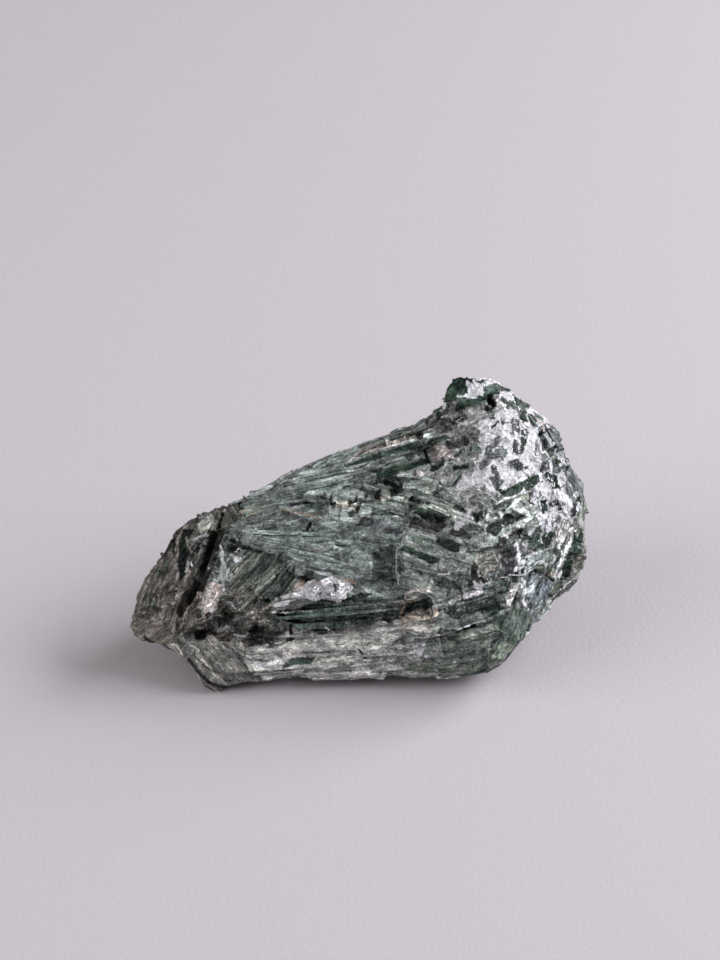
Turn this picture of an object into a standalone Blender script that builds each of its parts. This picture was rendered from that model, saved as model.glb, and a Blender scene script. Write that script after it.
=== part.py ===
"""Actinolite specimen: green actinolite blades grown together in pale talc, one natural piece.

Units are metres, +Z is up. +X runs from the narrow end to the broad broken end, and -Y is the display side.
The origin is the middle of the box around the piece, on the surface that it rests on.
The form is lofted between guide lines, as a ship's hull is. Sprays of blades are laid on it and fused to it,
and clefts, hollows and the moulds of lost crystals are cut into it.
"""

import math
import random

import bmesh
import bpy
from mathutils import Matrix, Vector, noise
from mathutils.bvhtree import BVHTree

# ---------------------------------------------------------------- driving dimensions
MM = 0.001
HALF_LENGTH = 60  # the guide lines run from -60 to 60 mm

# Guide lines as (x, y, z) in millimetres, from the narrow end to the broad end.
CREST = [
    (-60, -18, 18), (-57, -12, 24), (-50, -2, 30.5), (-44, 4, 34), (-36, 7, 36), (-24, 11, 41),
    (-10, 17, 45.5), (4, 20, 49), (17, 22.5, 53), (22, 24, 57), (27, 26, 62), (33, 27, 63.5),
    (39, 27.5, 61.5), (46, 25.5, 56.5), (52, 22.5, 50), (57, 17, 41), (60, 9, 31),
]  # fmt: skip
FRONT_FOOT = [
    (-60, -19, 14.8), (-57, -21, 13), (-50, -21.6, 10.2), (-44, -24.2, 5), (-38, -26, -1), (-24, -24.5, -1),
    (-10, -23.5, 0), (4, -23, 1.5), (18, -23.5, 2), (28, -25, 3), (36, -24.5, 6), (40, -21, 7.5),
    (46, -12.5, 9.5), (52, -5.5, 12.5), (57, -1, 15.5), (60, 0, 20),
]  # fmt: skip
BACK_FOOT = [
    (-60, -16, 14), (-50, 1, 9), (-44, 5, 4), (-36, 8, -1), (-24, 12, -1), (-10, 17, -1), (4, 22, -1),
    (18, 27, -1), (28, 31, -1), (40, 32, 0), (46, 30, 4), (52, 26, 8), (57, 18, 14), (60, 9, 20),
]  # fmt: skip
FRONT_BULGE = 0.21  # how far the display face swells past the line from foot to crest, as a share of it
BACK_BULGE = 0.10
STATIONS = 38
AROUND = 31

# Natural lumps of the whole piece, as (height, size) in metres.
LUMPS = (1.3 * MM, 13 * MM)
KNOBS = (0.8 * MM, 5.5 * MM)

# Directions that a side is looked at from, as (azimuth, elevation) in degrees. Azimuth 0 looks along +Y.
SIDES = {"display": (0, 36), "back": (180, 18), "broad": (90, 20), "narrow": (-90, 20), "top": (180, 75)}

# Sprays of parallel or fanned blades, seen from a side: u to the right and v up, in millimetres.
# (side, u, v, direction in degrees, fan in degrees, extent along, extent across, blades,
#  blade length, blade width)
SPRAYS = {
    "ridge": ("display", -2, 44.5, 18.5, 4, 26, 8, 9, 27, 3.4),
    "ridge_top": ("top", 6, 20, -168, 8, 40, 12, 7, 20, 4.0),
    "fan": ("display", -6, 26, -17, 26, 36, 24, 17, 19, 3.8),
    "slant": ("display", -24, 15, 47, 4, 3, 19, 8, 14, 2.8),
    "shoulder": ("display", 12, 41, 8, 30, 12, 8, 5, 12, 4.0),
    "knob": ("display", -48, 17, 62, 12, 12, 13, 5, 13, 4.0),
    "shelf": ("display", -4, 5.5, 3, 2, 20, 7, 5, 22, 4.0),
    "hem": ("display", -4, -7, 4, 3, 40, 9, 7, 24, 3.6),
    "corner": ("display", 29, -2, 17, 6, 18, 15, 9, 15, 4.2),
    "heart": ("display", 20, 31, -20, 7, 14, 18, 7, 13, 4.2),
    "step": ("display", 22, 15, -13, 6, 16, 16, 7, 12, 4.0),
    "blocks": ("display", 42, 25, 22, 8, 16, 24, 11, 11, 4.0),
    "edge": ("display", 52, 15, 60, 12, 8, 12, 5, 10, 3.6),
    "tumble": ("display", 38, 50, 30, 150, 20, 22, 12, 7, 3.6),
    "back_fan": ("back", -4, 28, 12, 26, 60, 22, 16, 22, 4.4),
    "back_low": ("back", -6, 8, -6, 12, 70, 12, 10, 19, 4.4),
    "back_narrow": ("back", 40, 10, -30, 16, 22, 12, 5, 14, 4.0),
    "back_broad": ("back", -46, 26, 70, 50, 24, 16, 7, 12, 4.4),
    "broad_end": ("broad", 2, 30, 70, 60, 34, 40, 14, 11, 4.4),
    "narrow_end": ("narrow", 10, 14, 60, 20, 16, 14, 5, 11, 3.4),
}
BLADE_DEPTH = 1.2  # a blade is this many times deeper than it is wide, most of it inside the piece
BLADE_PROUD = 0.14  # share of its width that a blade stands out at its middle
BLADE_PITCH = 0.045  # how steeply a blade may rise out of the piece, in radians
BLADE_ROLL = 0.30  # how far a blade may be turned about its own length, in radians
BLADE_BRIDGE = 1.2 * MM  # a blade that would span a hollow deeper than this is left out
# A blade's end as (across, out) points, in shares of its width and depth. The second one is its ridge.
BLADE_PROFILE = [(-0.5, -0.2), (0.0, 0.04), (0.5, -0.16), (0.36, -1.0), (-0.36, -1.0)]
BLADE_RIDGE_SHIFT = 0.3  # how far the ridge may lie from the middle
BLADE_END_SLANT = 0.9  # how far a broken end may slant, as a share of the width
RANDOM_SEED = 11

# Single crystals: (side, u, v, direction, length, width, how far it stands out), millimetres and degrees.
CRYSTALS = {
    "crest_crystal": ("display", 27.5, 62.5, 60, 8, 6.5, 3.2),
    "crest_crystal_top": ("top", -28, 27.0, 80, 8, 6.0, 3.0),
    "crest_bar": ("display", 32.0, 60.5, 17, 12, 3.4, 1.0),
    "crest_spike": ("top", -36, 27.5, 60, 6, 3.0, 1.8),
    "shoulder_block": ("display", 19.5, 50.5, 20, 8, 6.0, 1.4),
    "right_knuckle": ("display", 55.0, 24.0, 78, 8, 3.6, 0.6),
}

# Moulds and hollows: (side, u, v, direction, length, width, depth), millimetres and degrees.
HOLLOWS = {
    "rusty_slot": ("display", 16.8, 5.6, 12, 9.5, 3.2, 3.2),
    "dark_pit": ("display", -36.0, 3.0, 20, 7, 5.0, 3.4),
    "dark_pit_right": ("display", -26.5, 0.5, 60, 6, 4.0, 2.6),
    "slant_notch": ("display", -21.5, -1.0, 20, 6, 2.6, 2.4),
    "crest_mould": ("display", 35.0, 61.5, 65, 5, 2.4, 2.6),
    "shoulder_hollow": ("display", 21.5, 54.0, 25, 8, 4.0, 2.4),
    "talc_mould_1": ("display", 41.0, 49.0, 75, 5, 2.2, 2.2),
    "talc_mould_2": ("display", 46.5, 57.0, 20, 4, 2.2, 2.0),
    "talc_mould_3": ("display", 33.0, 45.0, 40, 5, 2.4, 2.0),
    "heart_gap": ("display", 10.0, 37.5, 50, 6, 3.0, 2.2),
    "fan_gap": ("display", -1.5, 34.5, 60, 5, 2.4, 2.0),
    "back_hollow": ("back", -20.0, 30.0, 30, 9, 5.0, 3.0),
    "back_pit": ("back", 22.0, 16.0, 70, 7, 4.0, 2.6),
}
HOLLOW_SIDES = 7
HOLLOW_MOUTH = (1.35, 2.0)  # the cutter's size at its top, as a share, and the top's height in mm
HOLLOW_FLOOR = 0.45  # size of the floor, as a share
HOLLOW_LEAN = 0.22  # how far the floor may be shifted along the hollow, as a share of its length

# Clefts are V-shaped cuts along a line of (u, v) points on a side: (side, points, width, depth).
CLEFTS = {
    "knob_cleft": ("display", [(-36, 36), (-38.5, 27), (-41, 19), (-44.5, 11), (-47, 5)], 3.4, 4.2),
    "foot_cleft": ("display", [(-52, -4), (-45, -1), (-40, 0)], 3.0, 2.6),
    "hem_cleft": ("display", [(-24, -3), (-12, 0.5), (0, 1), (10, 2.5)], 1.8, 1.8),
    "back_cleft": ("back", [(30, 34), (26, 24), (27, 12), (24, 4)], 3.2, 3.2),
}
CLEFT_LIP = (0.8, 2.4)  # the cutter's half width at its top, as a share of the width, and its height in mm
CLEFT_FLOOR = 0.1  # how far the floor line is off the middle, as a share of the width
BASE_BLOCK = (0.3, 0.3, 0.1)


# ---------------------------------------------------------------- the lofted form
def line_at(line, x):
    """The point of a guide line at length x in millimetres, on a smooth curve through its points."""
    last = len(line) - 1
    i = next((n for n, p in enumerate(line) if n and p[0] >= x), last)
    before, a, b, after = (Vector(line[min(max(i + n, 0), last)]) for n in (-2, -1, 0, 1))
    span = b.x - a.x
    t = (x - a.x) / span
    slope_a = (b - before) / (b.x - before.x) * span
    slope_b = (after - a) / (after.x - a.x) * span
    return (
        a * (2 * t**3 - 3 * t**2 + 1)
        + b * (3 * t**2 - 2 * t**3)
        + slope_a * (t**3 - 2 * t**2 + t)
        + slope_b * (t**3 - t**2)
    )


def smooth_ring(corners, count):
    """A closed curve through the corners, as count points."""
    ring = []
    for k in range(count):
        i, t = divmod(k * len(corners) / count, 1)
        a, b, c, d = (corners[(int(i) + n) % len(corners)] for n in (-1, 0, 1, 2))
        ring.append(
            b
            + (c - a) * (t / 2)
            + (2 * a - 5 * b + 4 * c - d) * (t * t / 2)
            + (3 * b - a - 3 * c + d) * (t**3 / 2)
        )
    return ring


def section(x):
    """One closed cross-section at length x: the display face, the back and the base."""
    foot, crest, back = (line_at(line, x) for line in (FRONT_FOOT, CREST, BACK_FOOT))
    rise, fall = crest - foot, back - crest
    out_front = Vector((0, -rise.z, rise.y)) * FRONT_BULGE
    out_back = Vector((0, -fall.z, fall.y)) * BACK_BULGE
    corners = [
        foot,
        foot + rise * 0.22 + out_front * 0.8,
        foot + rise * 0.55 + out_front,
        foot + rise * 0.82 + out_front * 0.6,
        crest,
        crest + fall * 0.3 + out_back * 0.9,
        crest + fall * 0.7 + out_back,
        back,
        (foot + back) / 2,
    ]
    return [p * MM for p in smooth_ring(corners, AROUND)]


def lofted_form():
    """The form between the guide lines, closed at both ends, with natural lumps."""
    mesh = bmesh.new()
    stations = [-HALF_LENGTH * math.cos(math.pi * n / STATIONS) for n in range(STATIONS + 1)]
    rings = [[mesh.verts.new(p) for p in section(x)] for x in stations]
    for a, b in zip(rings, rings[1:]):
        for k in range(AROUND):
            mesh.faces.new((a[k], a[k - 1], b[k - 1], b[k]))
    for ring in (rings[0], rings[-1]):
        mesh.faces.new(ring)
    bmesh.ops.recalc_face_normals(mesh, faces=mesh.faces)
    bmesh.ops.triangulate(mesh, faces=mesh.faces)
    mesh.normal_update()
    for v in mesh.verts:
        lump = noise.fractal(v.co / LUMPS[1], 0.9, 2.0, 3) * LUMPS[0]
        knob = noise.noise(v.co / KNOBS[1]) * KNOBS[0]
        v.co += v.normal * (lump + knob)
    return mesh


# ---------------------------------------------------------------- placing things on the form
class Side:
    """A side of the form as a viewer sees it, who can point at a place on it."""

    def __init__(self, name, tree):
        azimuth, elevation = (math.radians(a) for a in SIDES[name])
        self.right = Vector((math.cos(azimuth), math.sin(azimuth), 0))
        self.back = Vector(
            (
                math.sin(azimuth) * math.cos(elevation),
                -math.cos(azimuth) * math.cos(elevation),
                math.sin(elevation),
            )
        )
        self.up = self.back.cross(self.right)
        self.tree = tree

    def point(self, u, v):
        """The place on the form seen at (u, v) millimetres and its outward normal, or (None, None)."""
        start = (self.right * u + self.up * v) * MM + self.back
        place, normal, _, _ = self.tree.ray_cast(start, -self.back)
        return place, normal

    def direction(self, degrees):
        turn = math.radians(degrees)
        return self.right * math.cos(turn) + self.up * math.sin(turn)


def add_prism(mesh, centre, along, out, length, width, depth, rng):
    """A blade: a prism with a low roof and slanting broken ends. Its depth is measured against out."""
    across = along.cross(out).normalized()
    out = across.cross(along).normalized()
    profile = list(BLADE_PROFILE)
    profile[1] = (rng.uniform(-BLADE_RIDGE_SHIFT, BLADE_RIDGE_SHIFT), profile[1][1])
    rings = []
    for end in (-0.5, 0.5):
        lean = rng.uniform(-BLADE_END_SLANT, BLADE_END_SLANT)
        ring = []
        for a, b in profile:
            reach = end * length + lean * width * a
            ring.append(mesh.verts.new(centre + along * reach + across * (a * width) + out * (b * depth)))
        rings.append(ring)
    count = len(profile)
    for k in range(count):
        mesh.faces.new((rings[0][k], rings[0][k - 1], rings[1][k - 1], rings[1][k]))
    mesh.faces.new(rings[0])
    mesh.faces.new(rings[1][::-1])


def lay_blade(mesh, side, u, v, degrees, length, width, proud, rng):
    """Lays a blade with both ends on the surface, or leaves it out where it would miss or span a hollow."""
    turn = math.radians(degrees)
    reach = Vector((math.cos(turn), math.sin(turn))) * (length / 2)
    first, _ = side.point(u - reach.x, v - reach.y)
    last, _ = side.point(u + reach.x, v + reach.y)
    middle, normal = side.point(u, v)
    if None in (first, last, middle) or (last - first).length > 1.6 * length * MM:
        return
    chord = last - first
    rise = (middle - (first + last) / 2).dot(normal)
    if rise < -BLADE_BRIDGE:
        return
    centre = (first + last) / 2 + normal * (max(0.0, min(rise, BLADE_BRIDGE)) + proud * MM)
    across = chord.cross(normal).normalized()
    pitch = Matrix.Rotation(rng.uniform(-BLADE_PITCH, BLADE_PITCH), 3, across)
    along = pitch @ chord.normalized()
    out = Matrix.Rotation(rng.uniform(-BLADE_ROLL, BLADE_ROLL), 3, along) @ normal
    add_prism(mesh, centre, along, out, chord.length, width * MM, width * BLADE_DEPTH * MM, rng)


def spray_blades(mesh, sides, rng):
    """All sprays: blades side by side across each spray, turned a little more towards its edges."""
    for side, u, v, degrees, fan, along, across, count, length, width in SPRAYS.values():
        turn = math.radians(degrees)
        for n in range(count):
            row = (n + 0.5) / count - 0.5
            slide = rng.uniform(-0.5, 0.5) * along
            lean = rng.uniform(-0.5, 0.5) * fan * 0.35 - row * fan * 0.65
            drift = row * across + slide * math.sin(math.radians(-row * fan))
            lay_blade(
                mesh,
                sides[side],
                u + slide * math.cos(turn) - drift * math.sin(turn),
                v + slide * math.sin(turn) + drift * math.cos(turn),
                degrees + lean,
                length * rng.uniform(0.65, 1.2),
                width * rng.uniform(0.7, 1.3),
                width * BLADE_PROUD * rng.uniform(0.5, 1.3),
                rng,
            )


def single_crystals(mesh, sides, rng):
    for side, u, v, degrees, length, width, proud in CRYSTALS.values():
        lay_blade(mesh, sides[side], u, v, degrees, length, width, proud, rng)


# ---------------------------------------------------------------- what is cut away
def cut_hollows(mesh, sides, rng):
    """Moulds of lost crystals: slanting pits with an uneven outline, wider at the mouth than at the floor."""
    for side, u, v, degrees, length, width, depth in HOLLOWS.values():
        place, normal = sides[side].point(u, v)
        along = sides[side].direction(degrees)
        along = (along - normal * along.dot(normal)).normalized()
        across = normal.cross(along)
        lean = along * (rng.uniform(-HOLLOW_LEAN, HOLLOW_LEAN) * length)
        shares = [rng.uniform(0.7, 1.2) for _ in range(HOLLOW_SIDES)]
        rings = []
        for size, level, shift in ((*HOLLOW_MOUTH, -0.6), (HOLLOW_FLOOR, -depth, 1.0)):
            ring = []
            for k, share in enumerate(shares):
                angle = math.tau * k / HOLLOW_SIDES
                at = along * (math.cos(angle) * length / 2) + across * (math.sin(angle) * width / 2)
                ring.append(mesh.verts.new(place + (at * share * size + lean * shift + normal * level) * MM))
            rings.append(ring)
        for k in range(HOLLOW_SIDES):
            mesh.faces.new((rings[0][k - 1], rings[0][k], rings[1][k], rings[1][k - 1]))
        mesh.faces.new(rings[0])
        mesh.faces.new(rings[1][::-1])


def cut_clefts(mesh, sides):
    """V-shaped cuts that follow the surface and run out at both ends."""
    for side, points, width, depth in CLEFTS.values():
        found = [sides[side].point(u, v) for u, v in points]
        found = [(place, normal) for place, normal in found if place is not None]
        rings = []
        for n, (place, normal) in enumerate(found):
            ahead = found[min(n + 1, len(found) - 1)][0] - found[max(n - 1, 0)][0]
            across = ahead.cross(normal).normalized()
            share = 0.35 + 0.65 * math.sin(math.pi * (n + 0.6) / (len(found) + 0.2))
            size = width * share
            lip = across * (CLEFT_LIP[0] * size)
            top = normal * CLEFT_LIP[1]
            floor = across * (CLEFT_FLOOR * size) + normal * (depth * share)
            rings.append([mesh.verts.new(place + at * MM) for at in (top + lip, top - lip, -floor)])
        for a, b in zip(rings, rings[1:]):
            for k in range(3):
                mesh.faces.new((a[k], a[k - 1], b[k - 1], b[k]))
        mesh.faces.new(rings[0])
        mesh.faces.new(rings[-1][::-1])


def base_block(mesh):
    """Everything below the surface that the piece rests on."""
    bmesh.ops.create_cube(mesh, size=1.0)
    bmesh.ops.scale(mesh, vec=BASE_BLOCK, verts=mesh.verts)
    bmesh.ops.translate(mesh, vec=(0, 0, -BASE_BLOCK[2] / 2), verts=mesh.verts)


# ---------------------------------------------------------------- Blender objects
def clear_scene():
    for obj in list(bpy.data.objects):
        bpy.data.objects.remove(obj)


def add_object(name, mesh):
    bmesh.ops.recalc_face_normals(mesh, faces=mesh.faces)
    data = bpy.data.meshes.new(name)
    mesh.to_mesh(data)
    mesh.free()
    obj = bpy.data.objects.new(name, data)
    bpy.context.scene.collection.objects.link(obj)
    return obj


def add_tool(name, mesh):
    """A shape that is only joined to the piece or cut from it."""
    tool = add_object(name, mesh)
    tool.hide_render = True
    tool.display_type = "WIRE"
    return tool


def combine(obj, operation, tool):
    modifier = obj.modifiers.new(tool.name, "BOOLEAN")
    modifier.operation = operation
    modifier.object = tool
    modifier.use_self = True


def bake_modifiers(obj):
    """Makes the combined shape the object's own mesh, with its tools removed."""
    tools = [modifier.object for modifier in obj.modifiers]
    graph = bpy.context.evaluated_depsgraph_get()
    obj.data = bpy.data.meshes.new_from_object(obj.evaluated_get(graph))
    obj.modifiers.clear()
    for tool in tools:
        bpy.data.objects.remove(tool)


def drop_loose_chips(obj):
    """Removes chips that the cuts have freed from the piece, or that hang on it by an edge alone."""
    mesh = bmesh.new()
    mesh.from_mesh(obj.data)
    parts, seen = [], set()
    for face in mesh.faces:
        if face in seen:
            continue
        part, edge = [], [face]
        seen.add(face)
        while edge:
            part.append(edge.pop())
            joined = (e for e in part[-1].edges if len(e.link_faces) == 2)
            fresh = {near for e in joined for near in e.link_faces} - seen
            seen |= fresh
            edge.extend(fresh)
        parts.append(part)
    parts.sort(key=len)
    for chip in parts[:-1]:
        bmesh.ops.delete(mesh, geom=chip, context="FACES")
    mesh.to_mesh(obj.data)
    mesh.free()


def rest_on_origin(obj):
    """Moves the mesh so that the origin is the middle of its box, on the surface that it rests on."""
    corners = [Vector(corner) for corner in obj.bound_box]
    low = Vector(min(c[n] for c in corners) for n in range(3))
    high = Vector(max(c[n] for c in corners) for n in range(3))
    middle = (low + high) / 2
    obj.data.transform(Matrix.Translation((-middle.x, -middle.y, -low.z)))


def stone_material():
    material = bpy.data.materials.new("actinolite")
    material.use_nodes = True
    shader = material.node_tree.nodes["Principled BSDF"]
    shader.inputs["Base Color"].default_value = (0.085, 0.125, 0.095, 1)
    shader.inputs["Roughness"].default_value = 0.45
    shader.inputs["Metallic"].default_value = 0.0
    return material


def main():
    clear_scene()
    rng = random.Random(RANDOM_SEED)
    form = lofted_form()
    tree = BVHTree.FromBMesh(form)
    sides = {name: Side(name, tree) for name in SIDES}

    blades, hollows, clefts, base = (bmesh.new() for _ in range(4))
    spray_blades(blades, sides, rng)
    single_crystals(blades, sides, rng)
    cut_hollows(hollows, sides, rng)
    cut_clefts(clefts, sides)
    base_block(base)

    piece = add_object("actinolite_specimen", form)
    combine(piece, "UNION", add_tool("blade_tool", blades))
    combine(piece, "DIFFERENCE", add_tool("hollow_tool", hollows))
    combine(piece, "DIFFERENCE", add_tool("cleft_tool", clefts))
    combine(piece, "DIFFERENCE", add_tool("base_tool", base))
    bake_modifiers(piece)
    drop_loose_chips(piece)
    rest_on_origin(piece)
    piece.data.materials.append(stone_material())


main()
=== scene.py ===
"""Looks of an actinolite specimen: green blades grown together in pale talc, on a pale floor.

The stone is one mass. Its surface is divided into zones, each with its own grain, blades, relief and
colours. The mass carries the relief of the zones, and fields of blades, blocks and fibres grow on it
along the grain. Lengths in tables are millimetres, as people who measure minerals give them.
"""

import json
import math
from itertools import product
from typing import NamedTuple

import bmesh
import bpy
import numpy as np
from bpy.props import FloatProperty, FloatVectorProperty, IntProperty, PointerProperty
from mathutils import Matrix, Vector
from mathutils.bvhtree import BVHTree


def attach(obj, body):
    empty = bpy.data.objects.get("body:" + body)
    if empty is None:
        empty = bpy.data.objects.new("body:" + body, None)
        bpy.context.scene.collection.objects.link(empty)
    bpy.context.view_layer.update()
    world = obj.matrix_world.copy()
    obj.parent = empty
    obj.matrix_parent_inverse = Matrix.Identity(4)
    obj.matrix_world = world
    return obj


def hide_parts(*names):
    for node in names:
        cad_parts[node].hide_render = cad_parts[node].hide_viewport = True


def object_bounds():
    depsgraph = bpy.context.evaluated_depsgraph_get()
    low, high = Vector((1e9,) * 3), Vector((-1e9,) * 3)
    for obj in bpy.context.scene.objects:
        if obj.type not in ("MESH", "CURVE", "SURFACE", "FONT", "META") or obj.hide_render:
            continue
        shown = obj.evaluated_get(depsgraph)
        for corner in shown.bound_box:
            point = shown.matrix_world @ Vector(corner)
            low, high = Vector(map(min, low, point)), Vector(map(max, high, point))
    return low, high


bl_info = {
    "name": "Actinolite Specimen",
    "version": (1, 0, 0),
    "blender": (4, 5, 0),
    "location": "View3D > Sidebar > Specimen",
    "description": "Dresses a bladed actinolite specimen in its crystals and talc",
    "category": "Mesh",
}

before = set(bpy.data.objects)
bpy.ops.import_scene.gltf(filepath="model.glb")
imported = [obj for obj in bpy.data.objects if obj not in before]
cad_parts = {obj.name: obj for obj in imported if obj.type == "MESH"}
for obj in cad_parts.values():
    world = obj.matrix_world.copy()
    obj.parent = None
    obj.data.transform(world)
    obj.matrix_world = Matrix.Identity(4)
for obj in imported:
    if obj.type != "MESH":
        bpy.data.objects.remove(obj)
NODE = "actinolite_specimen"
BODY = "root"
GUIDE = "guide"
CAD_LOW, CAD_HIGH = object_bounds()

MM = 0.001

# ---------------------------------------------------------------- where the sides are looked at from
VIEW_DISTANCE = 0.70
DISPLAY_TARGET = Vector((-0.25, 10.0, 39.0)) * MM  # the middle of the display view, inside the stone
MIDDLE = (CAD_LOW + CAD_HIGH) / 2
# (azimuth, elevation, target). Azimuth 0 looks along +Y.
SIDES = {
    "display": (0, 36, DISPLAY_TARGET),
    "back": (180, 18, MIDDLE),
    "broad": (90, 20, MIDDLE),
    "narrow": (-90, 20, MIDDLE),
    "top": (180, 75, MIDDLE),
    "under": (0, -85, MIDDLE),
}


class Zone(NamedTuple):
    """A part of the surface with one grain. Its middle is (right, up) on a side, in millimetres."""

    side: str
    right: float
    up: float
    turn: float  # direction of the grain on that side, in degrees
    along: float  # how far the zone reaches along its grain
    across: float  # and across it
    width: float  # of a blade
    length: float  # of a blade
    relief: float  # height between neighbouring blades
    colours: tuple  # two names from PALETTE: the zone's darker and lighter blades
    talc: float = 0.0  # how much talc lies over it, from 0 to 1
    vein: float = 0.0  # width of the talc between its blades
    apex: float = 0.0  # distance back to the point that its blades fan out from, or 0 for parallel ones
    wave: float = 0.0  # height of the waves of schist
    grit: float = 0.0  # height of crumbly grains
    field: str = ""  # the blades that grow on it
    thick: float = 1.0  # density of that field
    blades: tuple = ()  # colours of those blades, where they aren't the zone's
    deep: float = 16.0  # how far the zone reaches into the stone
    film: float = 0.6  # how much dusty film lies on it, 0 to 1
    cut: float = 1.0  # how sharply it is cut in blades, 0 to 1
    warp: float = 0.3  # how far its grain wanders, mm
    contrast: float = 1.0  # how much its grains differ in shade
    fill: float = 0.0  # how far its hollows are filled with grains, 0 to 1
    stretch: float = 1.0  # how many times longer its patterns are along the grain


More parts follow.
